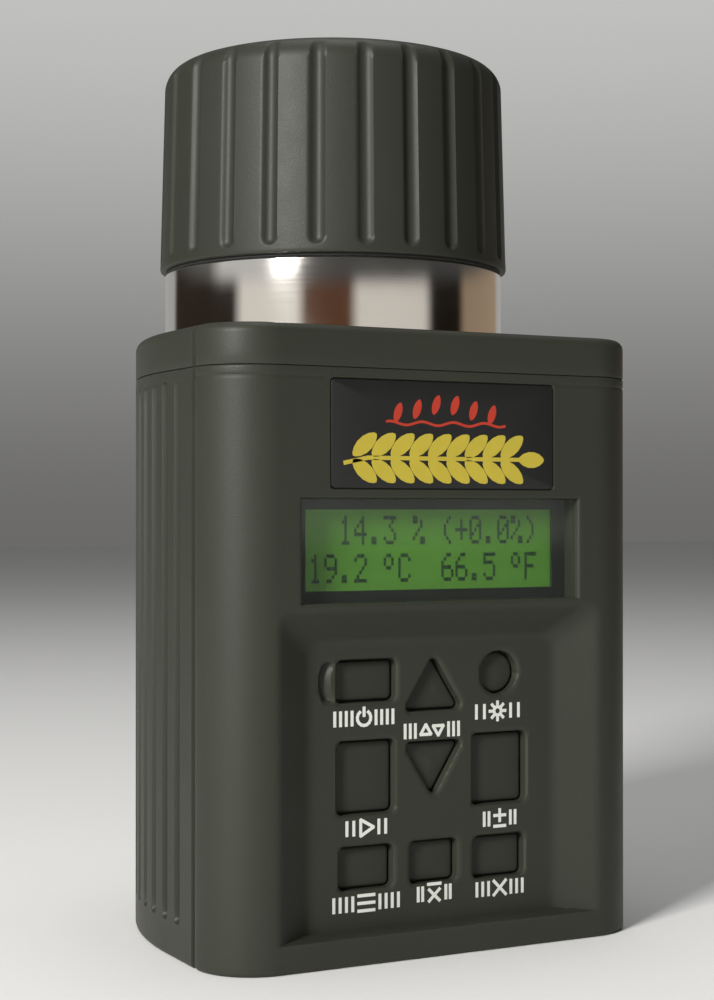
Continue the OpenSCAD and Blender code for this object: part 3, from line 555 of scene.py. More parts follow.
display = {"z": 78.4, "halfWidth": 30.8, "halfHeight": 9.9, "edge": 0.45, "seatDepth": 5.0}
labelSpot = {"z": 100.5, "halfWidth": 25.0, "halfHeight": 10.55, "corner": 1.0, "depth": 0.6}
pad = {"halfTop": 35.5, "halfFloor": 27.5, "depth": 4.5, "z": 5.5, "top": 67.3, "floorTop": 61.0,
       "cornerBlend": 2.4, "floorBlend": 0.45, "rimBlend": 0.35, "plate": 3.0, "edge": 0.4, "gap": 0.35,
       "guardRadius": 7.0, "guardDepth": 1.1}
keyPlan = {
    "power_key": (-14.9, 53.3, "bar", 12.4, 7.6), "light_key": (14.9, 53.8, "round", 8.0, 8.0),
    "select_up_key": (0, 52.0, "up", 11.6, 9.6), "select_down_key": (0, 36.0, "down", 11.6, 9.6),
    "test_key": (-14.9, 34.9, "bar", 12.0, 13.6), "cal_key": (14.9, 34.9, "bar", 12.0, 13.6),
    "memory_key": (-14.9, 17.6, "bar", 11.2, 7.8), "average_key": (0, 17.6, "bar", 10.0, 7.8),
    "clear_key": (14.9, 17.4, "bar", 11.2, 7.8),
}


def keyCorners(shape, width, height):
    # corner centres about the key's middle, and the radius that goes round them
    if shape == "round":
        return [(0, 0)], width / 2
    if shape == "bar":
        a, b = width / 2 - 1, height / 2 - 1
        return [(-a, -b), (a, -b), (a, b), (-a, b)], 1.0
    r = 0.8
    foot, tip = -height / 2 + r, height / 2 - r
    if shape == "up":
        return [(-width / 2 + r, foot), (width / 2 - r, foot), (0, tip)], r
    return [(width / 2 - r, -foot), (-width / 2 + r, -foot), (0, -tip)], r


def keyField(x, z):
    # distance to the nearest key's hole: each is a convex outline made wider by its corner radius
    nearest = np.full(x.shape, 99.0)
    for centreX, centreZ, shape, width, height in keyPlan.values():
        corners, radius = keyCorners(shape, width, height)
        corners = np.array(corners, float) + [centreX, centreZ]
        if len(corners) == 1:
            field = np.hypot(x - centreX, z - centreZ)
        else:
            inside = np.full(x.shape, -99.0)
            outside = np.full(x.shape, 99.0)
            for a, b in zip(corners, np.roll(corners, -1, axis=0)):
                ex, ez = b - a
                length = math.hypot(ex, ez)
                inside = np.maximum(inside, ((x - a[0]) * ez - (z - a[1]) * ex) / length)
                t = np.clip(((x - a[0]) * ex + (z - a[1]) * ez) / length ** 2, 0, 1)
                outside = np.minimum(outside, np.hypot(x - a[0] - t * ex, z - a[1] - t * ez))
            field = np.where(inside > 0, outside, inside)
        nearest = np.minimum(nearest, field - radius - pad["gap"])
    return nearest


def recessField(x, z):
    # depth of the keypad recess: the lowest of its sloping sides, its ledge and its floor, softly blended
    sides = (pad["halfTop"] - np.abs(x)) * pad["depth"] / (pad["halfTop"] - pad["halfFloor"])
    ledge = (pad["top"] - z) * pad["depth"] / (pad["top"] - pad["floorTop"])
    foot = (z - pad["z"]) * pad["depth"] / 0.45
    field = softMin(softMin(sides, ledge, pad["cornerBlend"]), np.full(x.shape, pad["depth"]), pad["floorBlend"])
    return softMax(softMin(field, foot, 0.5), np.zeros(x.shape), pad["rimBlend"])


def frontDepth(x, z):
    # the recess, plus the label's seat, plus the guard: one circle less another beside the power key
    depth = recessField(x, z)
    labelField = slotField(x, z, 0, labelSpot["z"], labelSpot["halfWidth"], labelSpot["halfHeight"], labelSpot["corner"])
    depth = depth + labelSpot["depth"] * (1 - ease(labelField, -0.13, 0.02))
    power = keyPlan["power_key"]
    left = np.hypot(x - power[0] + power[3] / 2 - 2.9, z - power[1]) - pad["guardRadius"]
    right = np.hypot(x - power[0] + power[3] / 2 - 5.2, z - power[1]) - pad["guardRadius"]
    ends = softMax(np.abs(z - power[1]) - power[4] / 2, x + 18, 0.6)
    crescent = softMax(softMax(left, -right, 0.4), ends, 0.6)
    depth = depth + pad["guardDepth"] * (1 - ease(crescent, -0.75, 0.3))
    displayField = slotField(x, z, 0, display["z"], display["halfWidth"], display["halfHeight"], 0.01)
    depth = depth + edgeRound(displayField, display["edge"])
    return depth + edgeRound(np.maximum(keyField(x, z), 0), pad["edge"]) * (np.abs(x) < 27)


lcdLow, lcdHigh = display["z"] - display["halfHeight"], display["z"] + display["halfHeight"]
labelLow, labelHigh = labelSpot["z"] - labelSpot["halfHeight"], labelSpot["z"] + labelSpot["halfHeight"]
xs = gridLines(paced(-cornerX, 0.8, -25.4, 0.46, 25.4, 0.8, cornerX), [-30.8, -25, 25, 30.8])
zs = gridLines(paced(0, 1.0, 5, 0.46, 60, 0.6, 68, 1.4, casing["seam"]),
               [0, pad["z"] + 0.2, lcdLow, lcdHigh, labelLow, labelHigh, casing["seam"]],
               (-0.9, -0.6, -0.3, -0.12, 0, 0.12, 0.3, 0.6, 0.9))
cornerSteps = 26
leftCorner, rightCorner = cornerColumns(cornerSteps, -1), cornerColumns(cornerSteps, 1)
plan, normals = joined(leftCorner, flatColumns(xs), rightCorner)
gridX = np.repeat(xs[:, None], len(zs), axis=1)
gridZ = np.repeat(zs[None, :], len(xs), axis=0)
centreX = (gridX[1:, 1:] + gridX[:-1, :-1]) / 2
centreZ = (gridZ[1:, 1:] + gridZ[:-1, :-1]) / 2
displayHole = slotField(centreX, centreZ, 0, display["z"], display["halfWidth"], display["halfHeight"], 0.01)
cutOut = (keyField(centreX, centreZ) < 0) | (displayHole < 0)
touching = np.zeros(gridX.shape)
for di in (0, 1):
    for dj in (0, 1):
        touching[di:di + cutOut.shape[0], dj:dj + cutOut.shape[1]] += cutOut
onRim = (touching > 0) & (touching < 4) & (np.abs(keyField(gridX, gridZ)) < 1)
for step in range(3):  # rim vertices slide down the field's slope onto the key holes' outlines
    field = keyField(gridX, gridZ)
    slopeX = (keyField(gridX + 0.01, gridZ) - field) / 0.01
    slopeZ = (keyField(gridX, gridZ + 0.01) - field) / 0.01
    steep = np.maximum(slopeX ** 2 + slopeZ ** 2, 0.3)
    gridX = gridX - np.where(onRim, field * slopeX / steep, 0)
    gridZ = gridZ - np.where(onRim, field * slopeZ / steep, 0)

inset = np.zeros((len(plan), len(zs)))
flat = slice(cornerSteps, cornerSteps + len(xs))
inset[flat] = frontDepth(gridX, gridZ)
inset += edgeRound(zs, casing["footRound"]) + edgeRound(casing["seam"] - zs, casing["seamRound"])
inset += casing["seamLineDepth"] * np.exp(-((zs - labelHigh) / 0.25) ** 2) * (np.abs(plan[:, :1]) > labelSpot["halfWidth"] + 1)
inset[[0, -1]] += 0.12
outer = standing(plan, normals, zs, inset)
outer[flat, :, 0], outer[flat, :, 2] = gridX, gridZ
seat = slotField(gridX, gridZ, 0, display["z"], display["halfWidth"] + 2.6, display["halfHeight"] + 1.1, 0.01)
behind = np.full(inset.shape, casing["wall"])
behind[flat] = np.maximum(np.maximum(casing["wall"], recessField(gridX, gridZ) + pad["plate"]),
                          display["seatDepth"] * (1 - ease(seat, -0.2, 0.4)))
behind = np.maximum(behind, inset + 0.8)
inner = standing(plan, normals, zs, behind)
inner[flat, :, 0], inner[flat, :, 2] = gridX, gridZ
keep = np.ones((len(plan) - 1, len(zs) - 1), bool)
keep[cornerSteps:cornerSteps + len(xs) - 1] = ~cutOut
shellPiece("frontShellSkin", outer, inner, keep, False, finishes["case"], "case",
           stands=["front_shell"], slotName="case", sharp=40)
print("front shell", outer.shape)


# Rear shell: grooved sides, and the round back with its battery opening and finger scoop

grooves = {"count": 6, "first": casing["split"] + 8.7, "pitch": 6.2, "halfWidth": 1.3, "depth": 0.9,
           "low": 7.0, "high": casing["seam"] - 2.0, "end": 1.25}
bay = {"halfWidth": 16.55, "low": 5.7, "high": 57.1, "scoopRadius": 7.0, "scoopHalf": 8.0, "scoopOut": 5.4, "scoopZ": 58.8}
grooveYs = grooves["first"] + grooves["pitch"] * np.arange(grooves["count"])
bowEnd = casing["back"] * math.sin(bowTurn)
ys = gridLines(paced(casing["split"], 1.7, bowEnd), grooveYs, (-1.7, -1.45, -1.25, -1.0, 0, 1.0, 1.25, 1.45, 1.7))
grooveLines = np.array([0.02, 0.06, 0.3, 1.1, 1.3, 1.4, 1.55])  # across the groove where the shells part
ys = np.unique(np.concatenate([ys, casing["split"] + grooveLines]))
bayTurn = math.asin(bay["halfWidth"] / casing["back"])
scoopTurn = math.asin(bay["scoopHalf"] / casing["back"])
backAngles = np.degrees(np.linspace(bowTurn, np.pi - bowTurn, 74)[1:-1])
backAngles = np.radians(gridLines(backAngles, [90 - math.degrees(bayTurn), 90 + math.degrees(bayTurn),
                                               90 - math.degrees(scoopTurn), 90 + math.degrees(scoopTurn)],
                                  (-0.5, -0.2, 0, 0.2, 0.5)))
zs = gridLines(paced(0, 2.6, 56.5, 0.5, 64, 2.8, casing["seam"]),
               [0, bay["low"], grooves["low"], bay["high"], grooves["high"], casing["seam"]],
               (-1.2, -0.8, -0.4, -0.15, 0, 0.15, 0.4, 0.8, 1.2))
plan, normals = joined(sideColumns(ys, 1), backColumns(backAngles), sideColumns(ys, -1))
x, y, z = plan[:, :1], plan[:, 1:], zs[None, :]
inset = partingField(x, y) + 0 * z
for grooveY in grooveYs:
    field = slotField(y, z, grooveY, (grooves["low"] + grooves["high"]) / 2, grooves["halfWidth"],
                      (grooves["high"] - grooves["low"]) / 2, grooves["end"])
    inset = inset + grooves["depth"] * (1 - ease(field, -0.3, 0.12)) * (y < bowEnd)
scoopY = casing["back"] + bay["scoopOut"] - np.sqrt(np.maximum(bay["scoopRadius"] ** 2 - (z - bay["scoopZ"]) ** 2, 0))
scoop = np.where(np.abs(z - bay["scoopZ"]) < bay["scoopRadius"], np.maximum(y - scoopY, 0), 0)
inset = inset + scoop * (1 - ease(np.abs(x), bay["scoopHalf"] - 0.15, bay["scoopHalf"] + 0.15)) * (y > 0)
bayField = slotField(x, z, 0, (bay["low"] + bay["high"]) / 2, bay["halfWidth"], (bay["high"] - bay["low"]) / 2, 0.01)
inset = inset + np.where(y > 0, edgeRound(np.maximum(bayField, 0), 0.35), 0)
inset = inset + edgeRound(z, casing["footRound"]) + edgeRound(casing["seam"] - z, casing["seamRound"])
inset = np.minimum(inset, casing["wall"] - 0.7)
midX, midY = (x[1:] + x[:-1]) / 2, (y[1:] + y[:-1]) / 2
midZ = (z[:, 1:] + z[:, :-1]) / 2
keep = ~((np.abs(midX) < bay["halfWidth"]) & (midY > 0) & (midZ > bay["low"]) & (midZ < bay["high"]))
outer = standing(plan, normals, zs, inset)
inner = standing(plan, normals, zs, np.full(inset.shape, casing["wall"]))
shellPiece("rearShellSkin", outer, inner, keep, False, finishes["case"], "case",
           stands=["rear_shell"], slotName="case", sharp=40)
print("rear shell", inset.shape)


# Battery door: a patch of the same round back, with thumb ridges and two springy legs

door = {"halfWidth": 16.25, "low": 6.0, "high": 56.8, "thickness": 2.2, "edge": 0.5, "ridges": 5, "ridgePitch": 2.4,
        "ridgeLow": 42.0, "ridgeHalf": 7.5, "ridgeDepth": 0.55, "legX": 13.55, "legThick": 1.1, "legLow": 14.0, "legHigh": 38.0}
doorTurn = math.asin(door["halfWidth"] / casing["back"])
turn = gridLines(np.degrees(np.linspace(-doorTurn, doorTurn, 50)), np.degrees([-doorTurn, doorTurn]),
                 (-0.6, -0.35, -0.15, 0, 0.15, 0.35, 0.6))
turn = np.radians(turn) + np.pi / 2
zs = gridLines(paced(door["low"], 2.4, door["ridgeLow"] - 2, 0.24, 54.5, 1.2, door["high"]), [door["low"], door["high"]],
               (-0.5, -0.25, -0.1, 0, 0.1, 0.25, 0.5))
plan, normals = backColumns(turn)
x, z = plan[:, :1], zs[None, :]
field = slotField(x, z, 0, (door["low"] + door["high"]) / 2, door["halfWidth"], (door["high"] - door["low"]) / 2, 0.6)
inset = edgeRound(-field, door["edge"])
for k in range(door["ridges"]):
    field = slotField(x, z, 0, door["ridgeLow"] + k * door["ridgePitch"], door["ridgeHalf"], 0.62, 0.6)
    inset = inset + door["ridgeDepth"] * (1 - ease(field, -0.45, 0.15))
keep = np.ones((len(plan) - 1, len(zs) - 1), bool)
outer = standing(plan, normals, zs, inset)
inner = standing(plan, normals, zs, np.full(inset.shape, door["thickness"]))
shellPiece("batteryDoorSkin", outer, inner, keep, False, finishes["case"], "door",
           stands=["battery_door"], slotName="case", sharp=40)
doorFront = nodeBox("battery_door")[0][1]
for side, mark in ((-1, "Left"), (1, "Right")):
    legX = door["legX"] + door["legThick"] / 2
    outline, outlineNormals = roundedOutline([(-0.25, -11.7), (0.25, -11.7), (0.25, 11.7), (-0.25, 11.7)], 0.3, 4)
    rings = [(0.25, 1, doorFront), (0.07, 1, doorFront + 0.1), (0, 1, doorFront + 0.3), (0, 1, doorFront + 14)]
    loftPiece("doorLeg" + mark, outline, outlineNormals, (side * legX, (door["legLow"] + door["legHigh"]) / 2), rings,
              finishes["case"], "door", slotName="case")


# Top cover: up from the seam, over a round edge, and in to the collar's hole

cover = {"edge": 2.0, "hole": 36.28, "holeEdge": 0.35, "rows": 15, "inside": 118.5, "screwHole": 2.8,
         "screws": [(40.62, -39.84), (41.1, -8.0)]}
ys = np.unique(np.concatenate([paced(casing["split"], 2.2, bowEnd), casing["split"] + grooveLines]))[:-1]
xs = np.linspace(-cornerX, cornerX, 72)
backAngles = np.linspace(bowTurn, np.pi - bowTurn, 64)
plan, normals = joined(cornerColumns(24, -1), flatColumns(xs), cornerColumns(24, 1), sideColumns(ys[1:], 1),
                       backColumns(backAngles), sideColumns(ys[1:], -1))
parting = partingField(plan[:, :1], plan[:, 1:])
roundTurn = np.radians(np.linspace(0, 90, 9))
rowInset = np.concatenate([[0.3, 0.1, 0, 0, 0], cover["edge"] * (1 - np.cos(roundTurn[1:]))])
rowZ = np.concatenate([casing["seam"] + np.array([0.03, 0.12, 0.4, 2.5, 6.0]),
                       casing["top"] - cover["edge"] * (1 - np.sin(roundTurn[1:]))])
edgeGrid = standing(plan, normals, rowZ, rowInset[None, :] + parting * (rowInset[None, :] < 2.1))
toHole = np.arctan2(plan[:, 1], plan[:, 0])
holePlan = cover["hole"] * np.stack([np.cos(toHole), np.sin(toHole)], axis=-1)
share = np.concatenate([np.linspace(0, 1, cover["rows"] + 1)[1:-1], [0.965, 0.985, 1.0]])[None, :, None]
topPlan = edgeGrid[:, -1:, :2] * (1 - share) + holePlan[:, None, :] * share
fromHole = np.hypot(topPlan[..., 0], topPlan[..., 1]) - cover["hole"]
topGrid = np.concatenate([topPlan, (casing["top"] - edgeRound(fromHole, cover["holeEdge"]))[..., None]], axis=-1)
outer = np.concatenate([edgeGrid, topGrid], axis=1)
middle = (outer[:, :-1] + np.roll(outer, -1, axis=0)[:, 1:]) / 2


def screwField(x, y):
    return np.minimum.reduce([np.hypot(np.abs(x) - sx, y - sy) for sx, sy in cover["screws"]]) - cover["screwHole"]


keep = ~((screwField(middle[..., 0], middle[..., 1]) < 0) & (middle[..., 2] > casing["top"] - 1.9))
gone = ~keep
touching = np.zeros(outer.shape[:2])
for rolled in (gone, np.roll(gone, 1, axis=0)):
    touching[:, :-1] += rolled
    touching[:, 1:] += rolled
onRim = (touching > 0) & (touching < 4)
field = screwField(outer[..., 0], outer[..., 1])
slopeX = (screwField(outer[..., 0] + 0.01, outer[..., 1]) - field) / 0.01
slopeY = (screwField(outer[..., 0], outer[..., 1] + 0.01) - field) / 0.01
outer[..., 0] -= np.where(onRim, field * slopeX, 0)
outer[..., 1] -= np.where(onRim, field * slopeY, 0)
innerPlan = standing(plan, normals, np.minimum(rowZ, cover["inside"]), casing["wall"] + 0 * (rowInset[None, :] + parting))
innerTop = np.concatenate([outer[:, len(rowZ):, :2], np.full(topGrid.shape[:2] + (1,), cover["inside"])], axis=-1)
inner = np.concatenate([innerPlan, innerTop], axis=1)
inner[..., :2] = np.where(onRim[..., None], outer[..., :2], inner[..., :2])
shellPiece("topCoverSkin", outer, inner, keep, True, finishes["case"], "case",
           stands=["top_cover"], slotName="case", sharp=40)
print("top cover", outer.shape)


# Test cell: plated tube, with the collar, the threaded neck and the bevelled mouth

tubeLow, tubeHigh = nodeBox("cell_tube")
cell = {"bore": 31.0, "neck": 33.7, "collar": 36.0, "flange": 37.4, "low": float(tubeLow[2]), "flangeZ": 109.3,
        "flangeTop": 112.3, "shoulder": 136.3, "rim": float(tubeHigh[2]), "pitch": 4.0, "threadDepth": 0.5}
threadZ = np.linspace(cell["shoulder"] + 0.05, cell["rim"] - 0.5, 56)
collarTurn = np.radians(np.linspace(0, 90, 7))
collarEdge = np.stack([cell["collar"] - 0.55 * (1 - np.cos(collarTurn)),
                       cell["shoulder"] - 0.55 * (1 - np.sin(collarTurn))], axis=-1)
profile = np.concatenate([
    [[cell["bore"], cell["low"] + 0.3], [cell["bore"] + 0.3, cell["low"]], [cell["neck"] - 0.3, cell["low"]],
     [cell["neck"], cell["low"] + 0.3], [cell["neck"], 101.5], [cell["neck"], cell["flangeZ"]], [cell["flange"], cell["flangeZ"]],
     [cell["flange"], cell["flangeTop"]], [cell["collar"], cell["flangeTop"]], [cell["collar"], 118.0], [cell["collar"], 127.0]],
    collarEdge, [[cell["neck"] + 0.5, cell["shoulder"]]],
    np.stack([np.full(len(threadZ), cell["neck"]), threadZ], axis=-1),
    [[cell["neck"] - 0.12, cell["rim"] - 0.15], [cell["neck"] - 0.4, cell["rim"]], [cell["bore"] + 1.2, cell["rim"]],
     [cell["bore"] + 1.0, cell["rim"] - 0.1], [cell["bore"], cell["rim"] - 1.1], [cell["bore"], 135.0], [cell["bore"], 115.0]],
])


def threadField(angle, z):
    # a groove that climbs one pitch for each turn, fading out at both ends of the neck
    turnPart = (z / cell["pitch"] - angle / (2 * np.pi)) % 1
    groove = ease(np.abs(turnPart - 0.5), 0.14, 0.26)
    fade = ease(z, cell["shoulder"] + 0.8, cell["shoulder"] + 2.2) * (1 - ease(z, cell["rim"] - 2.2, cell["rim"] - 1.0))
    neckRow = (profile[:, 0] > cell["neck"] - 0.01) & (profile[:, 0] < cell["neck"] + 0.01)
    return cell["threadDepth"] * groove * fade * neckRow[None, :]


turnedPiece("cellTubeTurned", profile, 192, finishes["plating"], "case", threadField,
            stands=["cell_tube"], slotName="plating", sharp=34)


# Cap: a fluted, slightly tapered shell with a plain rim band and a round shoulder

capLow, capHigh = nodeBox("cap_shell")
cap = {"radius": 37.1, "low": float(capLow[2]), "top": float(capHigh[2]), "taper": 1.0, "edge": 5.0, "bore": 7.05,
       "flutes": 24, "fluteTurn": 13.0, "fluteRadius": 1.9, "fluteDepth": 0.9, "fluteSoft": 0.14, "band": 1.6,
       "skirt": 34.8, "cavity": 33.1, "cavityZ": 152.0, "inside": 177.25, "boss": 13.5, "bossZ": 163.95,
       "pocket": 10.05, "pocketZ": 166.05}
shoulderZ = cap["top"] - cap["edge"]
topR = cap["radius"] - cap["taper"]
wallZ = cap["low"] + np.array([0.5, 0.9, 1.3, 1.6, 1.75, 1.95, 2.2, 2.5, 2.9, 3.4, 4.2, 5.5])  # close rows at the flutes' ends
wallZ = np.concatenate([wallZ, np.linspace(cap["low"] + 7, shoulderZ, 12)])
wallR = cap["radius"] - cap["taper"] * (wallZ - cap["low"]) / (shoulderZ - cap["low"])
roundTurn = np.radians(np.linspace(0, 90, 13))[1:]
topEdge = np.stack([topR - cap["edge"] * (1 - np.cos(roundTurn)), shoulderZ + cap["edge"] * np.sin(roundTurn)], axis=-1)
profile = np.concatenate([
    [[cap["skirt"], cap["low"] + 0.3], [cap["skirt"] + 0.3, cap["low"]],
     [cap["radius"] - 0.45, cap["low"]], [cap["radius"] - 0.13, cap["low"] + 0.14]],
    np.stack([wallR, wallZ], axis=-1), topEdge,
    [[27.0, cap["top"]], [22.0, cap["top"]], [15.0, cap["top"]], [9.2, cap["top"]],
     [8.6, cap["top"] - 0.05], [7.9, cap["top"] - 0.45],
     [7.35, cap["top"] - 1.0], [cap["bore"], cap["top"] - 1.3], [cap["bore"], cap["pocketZ"]], [cap["pocket"], cap["pocketZ"]],
     [cap["pocket"], cap["bossZ"]], [cap["boss"], cap["bossZ"]], [cap["boss"], cap["inside"]], [31.1, cap["inside"]],
     [cap["cavity"], 175.2], [cap["cavity"], cap["cavityZ"]], [cap["skirt"], cap["cavityZ"]], [cap["skirt"], 145.0]],
])
outerRows = (np.arange(len(profile)) >= 4) & (np.arange(len(profile)) < 4 + len(wallR) + len(topEdge))


def fluteField(angle, z):
    # grooves of one radius side by side, each starting in a round end above the rim band and running out on the shoulder
    step = 2 * np.pi / cap["flutes"]
    across = ((angle - math.radians(cap["fluteTurn"]) + step / 2) % step - step / 2) * cap["radius"]
    start = cap["low"] + cap["band"]
    centreOut = cap["fluteRadius"] - cap["fluteDepth"]
    below = np.maximum(start + cap["fluteRadius"] * 0.85 - z, 0)
    reach = np.sqrt(np.maximum(cap["fluteRadius"] ** 2 - across ** 2 - below ** 2, 0))
    depth = softMax(reach - centreOut, np.zeros(reach.shape), cap["fluteSoft"])
    fade = 1 - ease(z, cap["top"] - 2.4, cap["top"] - 0.6)
    lift = np.maximum(z - shoulderZ, 0) * 0.1
    return np.maximum(depth - lift, 0) * fade * outerRows[None, :]


turnedPiece("capShellFluted", profile, 24 * cap["flutes"], finishes["cap"], "cap", fluteField,
            stands=["cap_shell"], slotName="case", sharp=42)
print("cap and cell")


# Keys: soft-edged caps just below the recess's floor, each with its retaining flange

keyLow, keyHigh = nodeBox("test_key")
keyShape = {"front": float(keyLow[1]), "back": float(keyHigh[1]), "flange": 0.95,
            "flangeY": casing["front"] + pad["depth"] + pad["plate"] + 0.1, "edge": 0.5, "crown": 0.16}
edgeTurn = np.radians(np.linspace(0, 90, 6))
for name, (centreAtX, centreAtZ, shape, width, height) in keyPlan.items():
    corners, radius = keyCorners(shape, width, height)
    middle = np.mean(corners, axis=0)
    outline, outlineNormals = roundedOutline(np.array(corners, float) - middle, radius, 48 if shape == "round" else 9)
    rings = [(keyShape["edge"], s, keyShape["front"] - keyShape["crown"] * (1 - s * s)) for s in (0.02, 0.3, 0.55, 0.75, 0.9)]
    rings += [(keyShape["edge"] * (1 - math.sin(a)), 1, keyShape["front"] + keyShape["edge"] * (1 - math.cos(a)))
              for a in edgeTurn]
    rings += [(0, 1, keyShape["flangeY"] - 0.3), (0, 1, keyShape["flangeY"]), (-keyShape["flange"], 1, keyShape["flangeY"]),
              (-keyShape["flange"], 1, keyShape["back"] - 0.1), (0, 0.9, keyShape["back"] - 0.1), (0, 0.12, keyShape["back"])]
    loftPiece(name + "Cap", outline, outlineNormals, (centreAtX + middle[0], centreAtZ + middle[1]), rings,
              finishes["keys"], name[:-4], stands=[name], slotName="keys", sharp=50)


# Printed marks on the recess's floor: one small sign under each key, between short upright bars

marks = {"y": casing["front"] + pad["depth"], "thickness": 0.035, "stroke": 0.62, "scale": 1.12, "bar": 2.7, "pitch": 1.3}
up, down = [(-2.3, -0.7), (-1.25, 1.0), (-0.2, -0.7), (-2.3, -0.7)], [(2.3, 0.7), (1.25, -1.0), (0.2, 0.7), (2.3, 0.7)]
spokes = [[(r * math.cos(a), r * math.sin(a)) for r in (1.15, 1.7)] for a in np.radians(range(0, 360, 45))]
signs = {  # centre x and z, width, and the sign's lines about its centre
    "power": (-15.5, 46.3, 13.2, [arc(0, 0, 1.3, 125, 415), [(0, 0.3), (0, 1.8)]]),
    "select": (-0.5, 43.2, 12.6, [up, down]),
    "light": (14.5, 46.2, 10.4, [arc(0, 0, 0.75, 0, 360)] + spokes),
    "test": (-15.0, 25.3, 9.0, [[(-1.1, -1.4), (1.4, 0), (-1.1, 1.4), (-1.1, -1.4)]]),
    "cal": (15.0, 24.9, 7.8, [[(-1.2, 0.5), (1.2, 0.5)], [(0, 1.6), (0, -0.6)], [(-1.2, -1.4), (1.2, -1.4)]]),
    "memory": (-15.0, 10.9, 14.6, [[(-1.6, -1.3), (1.6, -1.3)], [(-1.6, 0), (1.6, 0)], [(-1.6, 1.3), (1.6, 1.3)]]),
    "average": (0.0, 11.4, 7.8, [[(-1.1, -1.4), (1.1, 0.7)], [(-1.1, 0.7), (1.1, -1.4)], [(-1.3, 1.6), (1.3, 1.6)]]),
    "clear": (15.0, 11.1, 11.2, [[(-1.3, -1.3), (1.3, 1.3)], [(-1.3, 1.3), (1.3, -1.3)]]),
}
markLines = []
for signX, signZ, width, parts in signs.values():
    markLines += [np.asarray(part, float) * marks["scale"] + [signX, signZ] for part in parts]
    reach = 1.15 + max(np.abs(np.asarray(part, float)[:, 0]).max() for part in parts) * marks["scale"]
    count = max(1, round((width / 2 - 0.3 - reach) / marks["pitch"])) + 1
    for place in np.linspace(reach, width / 2 - 0.3, count):
        for x in (signX - place, signX + place):
            markLines.append(np.array([(x, signZ - marks["bar"] / 2), (x, signZ + marks["bar"] / 2)]))
prismPiece("keyMarks", [strokes(markLines, marks["stroke"])], marks["y"] - marks["thickness"], marks["y"] + 0.02,
           finishes["whiteInk"], "case")


# Label: a black film plate with a yellow ear of grain and small red drops

label = {"halfWidth": 24.7, "halfHeight": 10.25, "corner": 0.7, "front": casing["front"] + 0.08, "thickness": 0.5, "relief": 0.05}
a, b = label["halfWidth"] - label["corner"], label["halfHeight"] - label["corner"]
outline, outlineNormals = roundedOutline([(-a, -b), (a, -b), (a, b), (-a, b)], label["corner"], 8)
rings = [(0.1, 0.05, label["front"]), (0.1, 0.6, label["front"]), (0.1, 1, label["front"]), (0.03, 1, label["front"] + 0.03),
         (0, 1, label["front"] + 0.1), (0, 1, label["front"] + label["thickness"]), (0, 0.1, label["front"] + label["thickness"])]
loftPiece("labelPlate", outline, outlineNormals, (0, labelSpot["z"]), rings, finishes["labelFilm"], "case",
          stands=["label_plate"], slotName="label", sharp=50)


def leaves(centres, tilts, lengths, widths, corners=14):
    # pointed ovals: half length along x, half width across it, narrowing to both tips
    t = np.linspace(0, 2 * np.pi, corners, endpoint=False)[None, :]
    along = np.cos(t) * np.asarray(lengths)[:, None]
    across = np.sin(t) * np.abs(np.sin(t)) ** 0.3 * np.asarray(widths)[:, None]
    c, s = np.cos(tilts)[:, None], np.sin(tilts)[:, None]
    centres = np.asarray(centres)
    return np.stack([centres[:, :1] + along * c - across * s, centres[:, 1:] + along * s + across * c], axis=-1)


pairs = np.arange(9)
earX = -19.0 + pairs * 4.1
upper = leaves(np.stack([earX + 1.3, 98.5 + 0 * earX], -1), np.full(9, math.radians(40)), np.full(9, 3.3), np.full(9, 1.55))
lower = leaves(np.stack([earX + 1.3, 93.5 + 0 * earX], -1), np.full(9, math.radians(-40)), np.full(9, 3.3), np.full(9, 1.55))
tip = leaves([(19.6, 96.0)], np.array([0.0]), [3.0], [1.6])
stem = strokes([[(-22.0, 95.0), (-17.0, 96.0), (17.0, 96.0)]], 0.8)
inkFront, inkBack = label["front"] - label["relief"], label["front"] + 0.05
prismPiece("labelGrainEar", [upper, lower, tip, stem], inkFront, inkBack, finishes["yellowInk"], "case")
dropX = np.array([-10.5, -6.3, -2.1, 2.1, 6.3, 10.5])
dropPlaces = np.stack([dropX, 105.6 + 0.9 * np.cos(dropX * 0.28)], -1)
drops = leaves(dropPlaces, np.full(6, math.radians(72)), np.full(6, 2.0), np.full(6, 0.85), 18)
waveX = np.linspace(-13, 13.5, 40)
wave = strokes([np.stack([waveX, 102.7 + 0.35 * np.sin(waveX * 0.9)], -1)], 0.5)
prismPiece("labelDrops", [drops, wave], inkFront, inkBack, finishes["redInk"], "case")


# Display: dot characters on the lit glass, behind the bezel and the clear window

screen = {"front": casing["front"] + 5.7, "pitch": 3.22, "left": -26.7, "dotX": 0.555, "dotZ": 0.8, "fill": 0.9,
          "rows": [(82.2, 2, "14.3 % (+0.0%)"), (74.9, 0, "19.2 'C  66.5 'F")]}
dotFont = {  # seven rows of five dots for each character, a row as one base-32 digit
    "0": "ehjlphe", "1": "4c4444e", "2": "eh1248v", "3": "v2421he", "4": "26aiv22", "5": "vgu11he", "6": "68guhhe",
    "9": "ehhf12c", ".": "00000cc", "%": "oq248j3", "(": "2488842", ")": "8422248", "+": "044v440", "'": "ciic000",
    "C": "ehggghe", "F": "vgguggg", " ": "0000000",
}
dots = []
for rowZ, first, text in screen["rows"]:
    for place, letter in enumerate(text):
        bits = np.array([[int(c, 32) >> (4 - k) & 1 for k in range(5)] for c in dotFont[letter]])
        down, across = np.nonzero(bits)
        dots.append(np.stack([screen["left"] + (first + place) * screen["pitch"] + (across + 0.5) * screen["dotX"],
                              rowZ + (3 - down) * screen["dotZ"]], axis=-1))
dots = np.concatenate(dots)[:, None, :]
